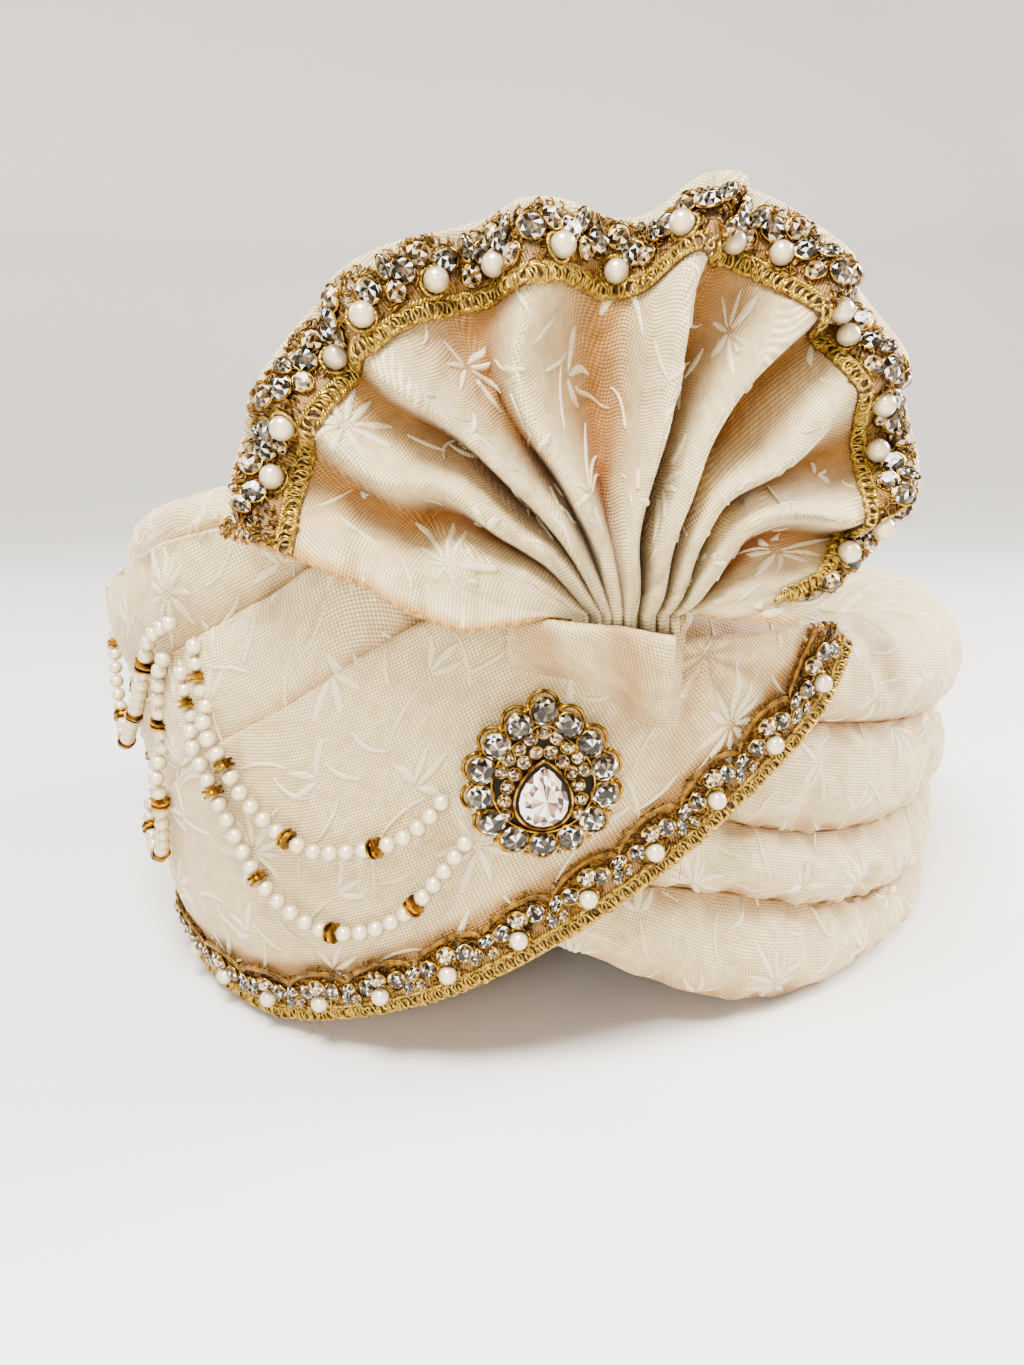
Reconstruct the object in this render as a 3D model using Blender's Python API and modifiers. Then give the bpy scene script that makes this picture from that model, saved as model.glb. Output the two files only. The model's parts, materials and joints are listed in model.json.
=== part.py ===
"""A tied turban pagri in ivory cloth: four wound rolls round a domed crown, a draped front panel edged
with lace, a pleated fan edged with the same lace, a brooch and four strings of pearls.

The frame's origin is the centre of the head opening at the level of the floor, with +Z up. The fan and
the brooch face -Y, and +X is at the right of someone who looks at them. An azimuth is measured from +X
towards +Y, so the right side is at 0 degrees, the back at 90, the left side at 180 and the front at 270.
"""
import bpy
import bmesh
import math
import numpy as np
from mathutils import Matrix, Vector

MM = 0.001

# Head opening and wound body, seen from above: two ovals with one long axis
LONG_AXIS = 230.0
OPENING_LENGTH = 196 * MM
OPENING_WIDTH = 158 * MM
BODY_LENGTH = 274 * MM
BODY_WIDTH = 220 * MM
LEAN = 0.05
SWELL_START = 35 * MM
SWELL_RISE = 60 * MM
TUCK = 6.5 * MM
TUCK_RISE = 30 * MM

# Rolls: how deep the creases between them are, how the pleats of the left side lap like shingles, and the
# room left between two rolls
CREASE_DEPTH = 6.5 * MM
CREASE_SHARPNESS = 2.4
LAP_DEPTH = 3.6 * MM
LAP_ROUND = 1.0 * MM
LAP_EDGE = 0.85
TOP_LAP_DEPTH = 5 * MM
ROLL_GAP = 0.5 * MM
SEGMENTS = 60
ROLL_STEPS = 5

# The top roll's face from its crease over the crest to the crown: the share of the crease's depth that it
# stands back, the share of the roll's width that it has gone inwards, and the share of its height
CREST_COLUMNS = ("foot", "inwards", "rise")
CREST = (
    (1.0, 0.0, 0.0),
    (0.3, 0.0, 0.16),
    (0.0, 0.0, 0.42),
    (0.0, 0.05, 0.70),
    (0.0, 0.20, 0.90),
    (0.0, 0.48, 1.0),
    (0.0, 0.76, 0.92),
    (0.0, 0.94, 0.76),
    (0.0, 1.0, 0.55),
)
CREST_FULLEST = 0.45

# Heights of the wound body round the head in mm, with what the upper half swells beyond the plan, what
# the rolls draw in under the front panel, and how far the rolls lap like shingles (1) or lie round (0)
SECTION_COLUMNS = ("azimuth", "foot", "crease_3", "crease_2", "crease_1", "crest", "swell", "draw_in", "lap")
SECTIONS = (
    (0, 0, 12, 36, 60, 94, -1, 0, 0),
    (30, 0, 13, 37, 61, 95, -1, 0, 0),
    (60, 0, 16, 40, 64, 98, 0, 0, 0),
    (90, 0, 19, 44, 68, 101, 1, 0, 0),
    (120, 0, 22, 48, 73, 104, 3, 0, 0),
    (150, 0, 24, 53, 80, 108, 7, 0, 0.1),
    (180, 0, 23, 62, 91, 115, 12, 1, 0.6),
    (200, 0, 19, 73, 102, 122, 11, 3, 1),
    (215, 0, 18, 85, 113, 127, 6, 3, 1),
    (228, 0, 20, 98, 122.5, 131, 3, 3, 1),
    (238, 2, 24, 111, 127, 132, 1, 3, 1),
    (246, 14, 33, 121, 126.5, 131, 0, 3, 1),
    (254, 25, 40, 109, 116, 126, 0, 3, 1),
    (264, 29, 43, 83, 101, 118, 0, 3, 0.6),
    (275, 18, 42, 66, 90, 112, 0, 2.5, 0.2),
    (286, 7, 36, 55, 80, 107, 0, 1.5, 0),
    (300, 1, 27, 47, 76, 103, -1, 0, 0),
    (315, 0, 20, 42, 71, 99, -1, 0, 0),
    (330, 0, 15, 39, 66, 96, -1, 0, 0),
)

# Crown
CROWN_WALL = 2.5 * MM
CROWN_TOP = 104 * MM
CROWN_RIM = 76 * MM
CROWN_FIT = 0.5 * MM
CROWN_RINGS = 5

# Front panel: its lower edge and its upper edge, which starts as the lowest pleat of the left side.
# Azimuths in degrees and heights in mm.
PANEL_CLOTH = 2.6 * MM
PANEL_FIT = 0.7 * MM
PANEL_COLUMNS = ("low_azimuth", "low_height", "top_azimuth", "top_height")
PANEL_ROWS = (
    (172, 1.3, 170, 20),
    (186, 1.3, 184, 21),
    (200, 1.3, 197, 27),
    (213, 1.3, 210, 43),
    (225, 1.3, 221, 59),
    (234, 1.8, 231, 75),
    (242, 7, 241, 89),
    (251, 15, 250, 104),
    (260, 25.5, 257, 111),
    (269, 37.5, 264, 107),
    (277.5, 50, 271, 104),
    (285, 62.5, 278, 103.5),
    (292, 74.5, 284, 103.5),
    (297, 86, 290, 103.5),
    (299.5, 98, 296, 104),
)
PANEL_STEPS = 30
PANEL_BANDS = 6

# Lace on the panel and on the fan
LACE_WIDTH = 17 * MM
LACE_CLOTH = 1.6 * MM
LACE_FIT = 0.75 * MM
LACE_BANDS = 3
FAN_LACE_WIDTH = 15 * MM
FAN_LACE_EASE = 0.4 * MM

# Fan: the line that its pleats rise from, its rim as angle and reach about the middle of that line,
# and its pleats as the angle that each ridge has at the base and at the rim
FAN_X = 3.5 * MM
FAN_Z = 110.7 * MM
FAN_FRONT = 134.1 * MM
FAN_BOW_X = -26 * MM
FAN_BOW = 2.8
FAN_LEAN = 0.16
FAN_BASE_LEFT = -8 * MM
FAN_BASE_RIGHT = 16 * MM
FAN_STEM = 5 * MM
FAN_CLOTH = 2.4 * MM
FAN_BUNDLE = 4.0 * MM
FAN_BUNDLE_REACH = 0.3
FAN_RIM_COLUMNS = ("angle", "reach")
FAN_RIM = (
    (-6, 36),
    (5, 50),
    (12, 62),
    (20, 71),
    (30, 76.5),
    (40, 81),
    (50, 84),
    (60, 87.5),
    (72, 89.5),
    (80, 88),
    (86, 80.5),
    (92, 79),
    (101, 83),
    (114, 84),
    (126, 88),
    (140, 89),
    (154, 88),
    (168, 85.5),
)
PLEAT_COLUMNS = ("base_angle", "rim_angle", "depth")
PLEATS = (
    (8, 3, 3),
    (27, 20, 5),
    (46, 41, 6),
    (64, 59, 6),
    (88, 75, 7),
    (110, 107, 7),
    (127, 132, 6),
    (143, 151, 4),
    (172, 176, 3),
)
PLEAT_TURN = 0.6
PLEAT_SWING = ((0.0, 0.25, 0.6, 1.0), (0.16, 0.8, 1.0, 0.6))
FAN_COLUMNS = 48
FAN_ROWS = 9

# Fan tie: the folded cloth that holds the foot of the fan
TIE_COLUMNS = ("azimuth", "low_height", "top_height", "swell")
TIE_ROWS = (
    (261, 99, 110, 0.5),
    (264, 97.5, 110.5, 4.2),
    (267.5, 95.5, 110, 7.2),
    (271, 90, 109, 7.8),
    (274, 85, 107.5, 8.2),
    (277.5, 84, 106, 8.4),
)
TIE_CLOTH = 2.2 * MM
TIE_FIT = 0.5 * MM
TIE_STEPS = 10
TIE_BANDS = 5
TIE_FULLEST = 0.87

# Brooch
BROOCH_AZIMUTH = 264.0
BROOCH_HEIGHT = 75.5 * MM
BROOCH_REACH = (7.0, 15 * MM)
BROOCH_PLATE = 1.8 * MM
BROOCH_STAND = 0.7 * MM
BROOCH_RADIUS = 13.6 * MM
BROOCH_PEAR = 1.9 * MM
BROOCH_TIP = 3.2 * MM
BROOCH_TIP_ANGLE = math.radians(22)
PLATE_SIDES = 32
PLATE_INSET = 0.5 * MM
STONE_GAP = 0.2 * MM
OUTER_STONES = 14
OUTER_STONE = 6.0 * MM
INNER_STONES = 16
INNER_STONE = 3.1 * MM
INNER_SHARE = 0.66
CENTRE_STONE_WIDTH = 13.5 * MM
CENTRE_STONE_LENGTH = 16.6 * MM
STONE_SIDES = 8
CENTRE_SIDES = 16
TABLE_SHARE = 0.55
OUTER_LEVELS = (3.2 * MM, 4.5 * MM)
INNER_LEVELS = (3.0 * MM, 3.7 * MM)
CENTRE_LEVELS = (4.4 * MM, 6.2 * MM)
PEAR_FULLNESS = 1.16
PEAR_POINT = 0.55

# Pearl strings: azimuth in degrees and height in mm of each point that a string passes, and how far in mm
# it hangs clear of the cloth there
STRING_DIAMETER = 4.2 * MM
STRING_FIT = 0.5 * MM
STRING_STEP = 11 * MM
EDGE_MARGIN = 7 * MM
ROUTE_COLUMNS = ("azimuth", "height", "clear")
STRING_ROUTES = {
    "pearl_swag_front_upper": (
        (255.6, 71, 0), (253.3, 64, 0), (251, 59.8, 0), (248.5, 57.3, 0), (245.5, 55.6, 0), (242.7, 54.8, 0),
        (240, 56.8, 0), (237.3, 61, 0), (235.3, 65.5, 0), (234, 71.5, 0.4), (232.3, 78, 0.5), (231, 84, 0.4),
        (230.2, 90, 0), (230, 97, 0), (230.3, 103, 0),
    ),
    "pearl_swag_front_lower": (
        (257.6, 61.5, 0), (256.3, 57, 0), (254.8, 51.8, 0), (253, 46.2, 0), (250.7, 40.8, 0), (248.2, 37.3, 0),
        (245.5, 35.3, 0), (242.5, 35.2, 0), (240, 37.6, 0), (237.5, 41.4, 0), (235.3, 47, 0), (234, 53, 0),
        (232.7, 59, 0), (231.2, 66, 0), (229.7, 74, 0), (228.3, 82, 0), (227.7, 90, 0), (227.7, 97, 0),
    ),
    "pearl_swag_side_upper": (
        (227.5, 103.9, 0), (225.3, 101.7, 0), (222.8, 97.8, 0.2), (221.3, 91.8, 0.2), (218.8, 83.3, 0.4),
        (213.5, 72.3, 1), (208.5, 64, 3), (204, 59.5, 5), (200, 61.5, 5.2), (197, 68, 4.9), (194.5, 78, 3),
        (192, 90, 0),
    ),
    "pearl_swag_side_lower": (
        (225.5, 95.3, 0), (224, 91.2, 0), (223.2, 86, 0), (222, 78, 0), (221, 69, 0), (220.8, 60, 0.2),
        (219.7, 50, 0.3), (217, 39, 0.4), (212, 32.5, 0.4), (207.5, 34.5, 0.9), (204, 43, 1), (201, 52, 0.2),
        (198, 61, 0), (194.5, 70, 0), (190.5, 78, 0), (186.5, 85, 0),
    ),
}

# Finishes: colour, roughness, metallic
IVORY = (0.86, 0.79, 0.68)
IVORY_DEEP = (0.80, 0.70, 0.57)
ANTIQUE_GOLD = (0.52, 0.37, 0.15)
PEARL = (0.90, 0.86, 0.76)


def column(table, names, name):
    """One named column of a table."""
    return np.array([row[names.index(name)] for row in table], float)


def smooth(x, y, at, period=None):
    """A smooth curve through the points x, y, read at the places given; round and round with a period."""
    if period:
        x = np.concatenate((x[-2:] - period, x, x[:2] + period))
        y = np.concatenate((y[-2:], y, y[:2]))
        at = np.mod(np.asarray(at, float) - x[2], period) + x[2]
    slope = np.gradient(y, x)
    at = np.asarray(at, float)
    i = np.clip(np.searchsorted(x, at) - 1, 0, len(x) - 2)
    step = x[i + 1] - x[i]
    t = np.clip((at - x[i]) / step, 0.0, 1.0)
    return ((2 * t**3 - 3 * t**2 + 1) * y[i] + (t**3 - 2 * t**2 + t) * step * slope[i]
            + (3 * t**2 - 2 * t**3) * y[i + 1] + (t**3 - t**2) * step * slope[i + 1])


def ease(x):
    """A ramp from 0 to 1 that starts and ends gently."""
    x = np.clip(x, 0.0, 1.0)
    return x * x * (3 - 2 * x)


def section(name, azimuth):
    """A column of the body's sections at an azimuth in degrees."""
    values = column(SECTIONS, SECTION_COLUMNS, name)
    return smooth(column(SECTIONS, SECTION_COLUMNS, "azimuth"), values, azimuth, 360.0)


def oval(length, width, azimuth):
    """Radius of an oval whose long axis points to LONG_AXIS."""
    turn = np.radians(np.asarray(azimuth, float) - LONG_AXIS)
    a = length / 2
    b = width / 2
    return a * b / np.hypot(a * np.sin(turn), b * np.cos(turn))


def body_radius(azimuth, height):
    """Radius of the rolls where they are fullest."""
    swell = section("swell", azimuth) * MM * ease((height - SWELL_START) / SWELL_RISE)
    draw_in = section("draw_in", azimuth) * MM
    tuck = TUCK * np.clip(section("lap", azimuth), 0, 1) * (1 - ease(height / TUCK_RISE))
    return oval(BODY_LENGTH, BODY_WIDTH, azimuth) + LEAN * height + swell - draw_in - tuck


def place(radius, azimuth, height):
    """Points from radius, azimuth in degrees and height."""
    turn = np.radians(azimuth)
    return np.stack(np.broadcast_arrays(radius * np.cos(turn), radius * np.sin(turn), height), -1)


def roll_profile(azimuth, t):
    """How far a roll's face stands back from the body's radius, from its lower crease (0) to its upper."""
    lap = np.clip(section("lap", azimuth), 0, 1)
    rounded = CREASE_DEPTH * np.abs(2 * t - 1) ** CREASE_SHARPNESS
    lapped = LAP_DEPTH * (1 - ease(t / LAP_EDGE)) + LAP_ROUND * ease((t - LAP_EDGE) / (1 - LAP_EDGE))
    return (1 - lap) * rounded + lap * lapped


def material(name, colour, roughness, metallic=0.0):
    """A Principled material."""
    finish = bpy.data.materials.new(name)
    finish.use_nodes = True
    shader = finish.node_tree.nodes["Principled BSDF"]
    shader.inputs["Base Color"].default_value = (*colour, 1.0)
    shader.inputs["Roughness"].default_value = roughness
    shader.inputs["Metallic"].default_value = metallic
    finish.diffuse_color = (*colour, 1.0)
    return finish


def add_object(name, mesh, collection, finish):
    """An object of the model with its own material."""
    obj = bpy.data.objects.new(name, mesh)
    mesh.materials.clear()
    mesh.materials.append(finish)
    collection.objects.link(obj)
    return obj


def grid_mesh(name, points, close_rows=False, close_columns=False, cut_from=None):
    """A mesh from a grid of points, whose rows or columns may close on themselves. With cut_from, each
    quad is cut in two, and from that column on along its other diagonal."""
    rows, columns = points.shape[:2]
    mesh = bpy.data.meshes.new(name)
    bm = bmesh.new()
    verts = [[bm.verts.new(points[i, j]) for j in range(columns)] for i in range(rows)]
    for i in range(rows if close_rows else rows - 1):
        for j in range(columns if close_columns else columns - 1):
            i2 = (i + 1) % rows
            j2 = (j + 1) % columns
            quad = (verts[i][j], verts[i][j2], verts[i2][j2], verts[i2][j])
            if cut_from is None:
                bm.faces.new(quad)
            elif j < cut_from:
                bm.faces.new((quad[0], quad[1], quad[2]))
                bm.faces.new((quad[0], quad[2], quad[3]))
            else:
                bm.faces.new((quad[0], quad[1], quad[3]))
                bm.faces.new((quad[1], quad[2], quad[3]))
    if close_columns and not close_rows:
        bm.faces.new(verts[0][::-1])
        bm.faces.new(verts[-1])
    bmesh.ops.recalc_face_normals(bm, faces=bm.faces)
    if close_columns and bm.calc_volume(signed=True) < 0:
        bmesh.ops.reverse_faces(bm, faces=bm.faces)
    bm.to_mesh(mesh)
    bm.free()
    mesh.shade_smooth()
    mesh.set_sharp_from_angle(angle=math.radians(40))
    return mesh


def solidify(obj, thickness, outward=1.0):
    """Gives an open sheet its thickness."""
    wall = obj.modifiers.new("wall", 'SOLIDIFY')
    wall.thickness = thickness
    wall.offset = outward
    wall.use_even_offset = True
    wall.thickness_clamp = 0.0
    return wall


def half_gap(name, azimuths):
    """Half of the upright room at a crease, more where the crease climbs."""
    climb = (section(name, azimuths + 1) - section(name, azimuths - 1)) * MM
    slope = np.abs(climb) / (2 * math.radians(1) * BODY_LENGTH / 2)
    return ROLL_GAP / 2 * (1 + slope)


def roll(number, collection):
    """One wound roll as a closed ring; 1 is the top one, which turns over the crest, and 4 the lowest."""
    azimuths = np.arange(SEGMENTS) * 360.0 / SEGMENTS
    levels = {1: ("crease_1", "crest"), 2: ("crease_2", "crease_1"), 3: ("crease_3", "crease_2"),
              4: ("foot", "crease_3")}
    low_name, high_name = levels[number]
    low = np.maximum(section(low_name, azimuths) * MM, 0.0)
    high = section(high_name, azimuths) * MM
    if number < 4:
        low = low + half_gap(low_name, azimuths)
    inner = oval(OPENING_LENGTH, OPENING_WIDTH, azimuths)
    loops = [place(inner, azimuths, low)]
    if number > 1:
        high = high - half_gap(high_name, azimuths)
        for t in np.linspace(0, 1, ROLL_STEPS + 1):
            height = low + t * (high - low)
            loops.append(place(body_radius(azimuths, height) - roll_profile(azimuths, t), azimuths, height))
        loops.append(place(inner, azimuths, high))
    else:
        loops += crest_loops(azimuths, low, high, inner)
    points = np.stack(loops, 1)
    mesh = grid_mesh(f"roll_{number}", points, close_rows=True, close_columns=True, cut_from=ROLL_STEPS // 2)
    finish = material(f"ivory woven cloth {number}", IVORY, 0.7)
    return add_object(f"roll_{number}", mesh, collection, finish)


def crest_loops(azimuths, low, high, inner):
    """The top roll's face: up its outer side, over the crest and down to the crown."""
    lap = np.clip(section("lap", azimuths), 0, 1)
    outer = body_radius(azimuths, low + CREST_FULLEST * (high - low)) - lap * TOP_LAP_DEPTH
    crease = (1 - lap) * CREASE_DEPTH + lap * LAP_DEPTH
    loops = []
    for foot, inwards, rise in CREST:
        radius = outer - foot * crease - inwards * (outer - inner)
        loops.append(place(radius, azimuths, low + rise * (high - low)))
    return loops


def crown(collection):
    """The domed cap that closes the head opening, a thin wall just inside the top roll."""
    azimuths = np.arange(SEGMENTS // 2) * 720.0 / SEGMENTS
    rim = oval(OPENING_LENGTH, OPENING_WIDTH, azimuths) - CROWN_FIT
    loops = []
    for share in np.linspace(1, 0, CROWN_RINGS + 1)[:-1]:
        loops.append(place(rim * share, azimuths, CROWN_TOP - (CROWN_TOP - CROWN_RIM) * share**2))
    points = np.stack(loops, 1)
    mesh = grid_mesh("crown", points, close_rows=True)
    bm = bmesh.new()
    bm.from_mesh(mesh)
    middle = (CROWN_RIM + CROWN_TOP) / 2
    edges = [e for e in bm.edges if e.is_boundary and e.verts[0].co.z > middle]
    top = bm.verts.new((0.0, 0.0, CROWN_TOP))
    for edge in edges:
        bm.faces.new((edge.verts[0], edge.verts[1], top))
    bmesh.ops.recalc_face_normals(bm, faces=bm.faces)
    highest = max(bm.faces, key=lambda f: f.calc_center_median().z)
    if highest.normal.z < 0:
        bmesh.ops.reverse_faces(bm, faces=bm.faces)
    bm.to_mesh(mesh)
    bm.free()
    obj = add_object("crown", mesh, collection, material("ivory lining cloth of the crown", IVORY_DEEP, 0.8))
    solidify(obj, CROWN_WALL, -1.0)
    return obj


def panel_edges(u):
    """The panel's lower and upper edge at a place u along it, from its tail (0) to its top right (1)."""
    rows = np.linspace(0, 1, len(PANEL_ROWS))
    return [smooth(rows, column(PANEL_ROWS, PANEL_COLUMNS, name), u) for name in PANEL_COLUMNS]


def panel_point(u, v, stand):
    """A point of the panel's cloth, v from its lower edge (0) to its upper (1), at a stand off the rolls."""
    low_azimuth, low_height, top_azimuth, top_height = panel_edges(u)
    azimuth = low_azimuth + v * (top_azimuth - low_azimuth)
    height = (low_height + v * (top_height - low_height)) * MM
    return place(body_radius(azimuth, height) + stand, azimuth, height)


def front_panel(collection):
    """The cloth draped across the front, from the foot of the left side to the top right."""
    u, v = np.meshgrid(np.linspace(0, 1, PANEL_STEPS + 1), np.linspace(0, 1, PANEL_BANDS + 1), indexing="ij")
    points = panel_point(u, v, PANEL_FIT)
    mesh = grid_mesh("front_panel", points)
    obj = add_object("front_panel", mesh, collection, material("ivory woven cloth of the panel", IVORY, 0.7))
    face_outward(mesh)
    solidify(obj, PANEL_CLOTH)
    return obj


def face_outward(mesh):
    """Turns an open sheet so that its faces point away from the head."""
    bm = bmesh.new()
    bm.from_mesh(mesh)
    total = sum(f.normal.dot(f.calc_center_median() * Vector((1, 1, 0))) for f in bm.faces)
    if total < 0:
        bmesh.ops.reverse_faces(bm, faces=bm.faces)
    bm.to_mesh(mesh)
    bm.free()


def panel_lace(collection):
    """The woven lace band along the panel's lower edge."""
    u = np.linspace(0, 1, PANEL_STEPS + 1)
    low = panel_point(u, 0.0, 0.0)
    top = panel_point(u, 1.0, 0.0)
    share = LACE_WIDTH / np.linalg.norm(top - low, axis=-1)
    rows = []
    for v in np.linspace(0, 1, LACE_BANDS + 1):
        rows.append(panel_point(u, np.minimum(share, 1.0) * v, PANEL_FIT + PANEL_CLOTH + LACE_FIT))
    mesh = grid_mesh("panel_lace", np.stack(rows, 1))
    face_outward(mesh)
    finish = material("gold lace of the panel", ANTIQUE_GOLD, 0.4, 0.8)
    obj = add_object("panel_lace", mesh, collection, finish)
    solidify(obj, LACE_CLOTH)
    return obj


def fan_point(s, t):
    """The middle of the fan's cloth: s runs from its right edge (0) to its left (1), t from the base (0)
    to the rim (1)."""
    angles = column(FAN_RIM, FAN_RIM_COLUMNS, "angle")
    reaches = column(FAN_RIM, FAN_RIM_COLUMNS, "reach") * MM
    angle = angles[0] + s * (angles[-1] - angles[0])
    reach = smooth(angles, reaches, angle)
    base_x = FAN_BASE_RIGHT + s * (FAN_BASE_LEFT - FAN_BASE_RIGHT)
    rim_x = FAN_X + reach * np.cos(np.radians(angle))
    rim_z = FAN_Z + reach * np.sin(np.radians(angle))
    x = base_x + t * (rim_x - base_x)
    z = FAN_Z + t * (rim_z - FAN_Z)
    y = -FAN_FRONT + FAN_BOW * (x - FAN_BOW_X) ** 2 + FAN_LEAN * (z - FAN_Z)
    ridges = [rim + (1 - t) * PLEAT_TURN * (base - rim) for base, rim, _ in PLEATS]
    phase = 0.0
    depth = PLEATS[0][2]
    for k in range(len(PLEATS) - 1):
        passed = np.clip((angle - ridges[k]) / (ridges[k + 1] - ridges[k]), 0, 1)
        phase = phase + passed
        depth = depth + passed * (PLEATS[k + 1][2] - PLEATS[k][2])
    swing = np.interp(t, *PLEAT_SWING)
    wave = np.cos(2 * np.pi * phase) * depth * MM * swing
    return np.stack(np.broadcast_arrays(x, y - wave, z), -1)


def fan(collection):
    """The pleated fan, a front and a back face a cloth's thickness apart, with its stem below the base."""
    t_values = np.linspace(0, 1, FAN_ROWS)
    s, t = np.meshgrid(np.linspace(0, 1, FAN_COLUMNS + 1), t_values, indexing="ij")
    middle = fan_point(s, t)
    half = FAN_CLOTH / 2 + (FAN_BUNDLE - FAN_CLOTH) / 2 * np.clip(1 - t / FAN_BUNDLE_REACH, 0, 1)
    stem = middle[:, :1].copy()
    stem[..., 2] -= FAN_STEM
    middle = np.concatenate((stem, middle), 1)
    half = np.concatenate((half[:, :1], half), 1)
    front = middle.copy()
    back = middle.copy()
    front[..., 1] -= half
    back[..., 1] += half
    points = np.concatenate((front, back[:, ::-1]), 1)
    mesh = grid_mesh("fan", points, close_columns=True)
    return add_object("fan", mesh, collection, material("ivory woven cloth of the fan", IVORY, 0.65))


def fan_lace(collection):
    """The woven lace band along the fan's rim, in front of its cloth."""
    s = np.linspace(0, 1, FAN_COLUMNS + 1)
    rim = fan_point(s, np.ones_like(s))
    base = fan_point(s, np.zeros_like(s))
    flat = (rim - base)[:, (0, 2)]
    share = FAN_LACE_WIDTH / np.linalg.norm(flat, axis=-1)
    rows = []
    for v in np.linspace(0, 1, LACE_BANDS + 1):
        t = 1 - share * (1 - v)
        points = fan_point(s, t)
        points[..., 1] -= FAN_CLOTH / 2 + LACE_FIT + FAN_LACE_EASE
        rows.append(points)
    front = np.stack(rows, 1)
    face = front.copy()
    face[..., 1] -= LACE_CLOTH
    points = np.concatenate((face, front[:, ::-1]), 1)
    mesh = grid_mesh("fan_lace", points, close_columns=True)
    finish = material("gold lace of the fan", ANTIQUE_GOLD, 0.4, 0.8)
    return add_object("fan_lace", mesh, collection, finish)


def skin_radius(azimuth, height):
    """Radius of the outermost cloth on the left and at the front, for what lies on it."""
    u = np.linspace(0, 1, 200)
    low_azimuth, low_height, top_azimuth, top_height = panel_edges(u)
    low = np.interp(azimuth, low_azimuth, low_height) * MM
    top = np.interp(azimuth, top_azimuth, top_height) * MM
    covered = (height > low) & (height < top + EDGE_MARGIN) & (azimuth > low_azimuth[0])
    return body_radius(azimuth, height) + np.where(covered, PANEL_FIT + PANEL_CLOTH, 0.0)


def fan_tie(collection):
    """The folded cloth over the foot of the fan."""
    azimuths = column(TIE_ROWS, TIE_COLUMNS, "azimuth")
    at = np.linspace(azimuths[0], azimuths[-1], TIE_STEPS + 1)
    low = smooth(azimuths, column(TIE_ROWS, TIE_COLUMNS, "low_height"), at) * MM
    top = smooth(azimuths, column(TIE_ROWS, TIE_COLUMNS, "top_height"), at) * MM
    swell = smooth(azimuths, column(TIE_ROWS, TIE_COLUMNS, "swell"), at) * MM
    stand = PANEL_FIT + PANEL_CLOTH + TIE_FIT
    rows = []
    for v in np.linspace(0, 1, TIE_BANDS + 1):
        height = low + v * (top - low)
        rows.append(place(body_radius(at, height) + stand + swell * ease(v / TIE_FULLEST), at, height))
    mesh = grid_mesh("fan_tie", np.stack(rows, 1))
    face_outward(mesh)
    obj = add_object("fan_tie", mesh, collection, material("ivory woven cloth of the tie", IVORY, 0.7))
    solidify(obj, TIE_CLOTH)
    return obj


def brooch_outline(count, share=1.0, grow=0.0):
    """Points equally spaced round the brooch's pear outline, from its tip, as right and up."""
    turn = np.linspace(-math.pi, math.pi, 721)
    reach = BROOCH_RADIUS - BROOCH_PEAR * np.cos(turn) + BROOCH_TIP * np.exp(-(turn / BROOCH_TIP_ANGLE) ** 2)
    points = np.stack((np.sin(turn), np.cos(turn)), -1) * (reach * share + grow)[:, None]
    length = np.concatenate(([0.0], np.cumsum(np.linalg.norm(np.diff(points, axis=0), axis=-1))))
    at = length[-1] * ((0.5 + np.arange(count) / count) % 1.0)
    return np.stack([np.interp(at, length, points[:, axis]) for axis in (0, 1)], -1)


def round_outline(sides, diameter):
    """A regular outline with a flat side on each axis."""
    turn = 2 * math.pi * (np.arange(sides) + 0.5) / sides
    return np.stack((np.sin(turn), np.cos(turn)), -1) * diameter / 2


def pear_outline(sides, width, length):
    """A pear outline with its tip up."""
    turn = 2 * math.pi * np.arange(sides) / sides
    across = width / 2 * PEAR_FULLNESS * np.sin(turn) * np.sin(turn / 2) ** PEAR_POINT
    return np.stack((across, length / 2 * np.cos(turn)), -1)


def add_stone(bm, centre, outline, seat, levels):
    """A cut stone in its collet: walls up to the girdle, a crown of facets and a table."""
    rings = []
    for scale, level in ((1.0, seat), (1.0, levels[0]), (TABLE_SHARE, levels[1])):
        ring = [bm.verts.new((centre[0] + x * scale, centre[1] + y * scale, level)) for x, y in outline]
        rings.append(ring)
    for lower, upper in zip(rings, rings[1:]):
        for k in range(len(outline)):
            k2 = (k + 1) % len(outline)
            bm.faces.new((lower[k], lower[k2], upper[k2], upper[k]))
    bm.faces.new(rings[0])
    bm.faces.new(rings[-1])


def skin_point(azimuth, height, stand=0.0):
    """A point of the outermost cloth, or that far above it."""
    return place(skin_radius(azimuth, height) + stand, azimuth, height)


def brooch_frame():
    """Place and turn of the brooch: its own z points out of the panel, its y up."""
    azimuths = BROOCH_AZIMUTH + np.array((-1, 1)) * BROOCH_REACH[0]
    heights = BROOCH_HEIGHT + np.array((-1, 1)) * BROOCH_REACH[1]
    left, right = (Vector(p) for p in skin_point(azimuths, np.full(2, BROOCH_HEIGHT)))
    below, above = (Vector(p) for p in skin_point(np.full(2, BROOCH_AZIMUTH), heights))
    across = (right - left).normalized()
    outward = across.cross(above - below).normalized()
    up = outward.cross(across)
    turn = Matrix((across, up, outward)).transposed().to_4x4()
    centre = Vector(skin_point(BROOCH_AZIMUTH, BROOCH_HEIGHT).tolist()) + outward * BROOCH_STAND
    return Matrix.Translation(centre) @ turn


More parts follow.
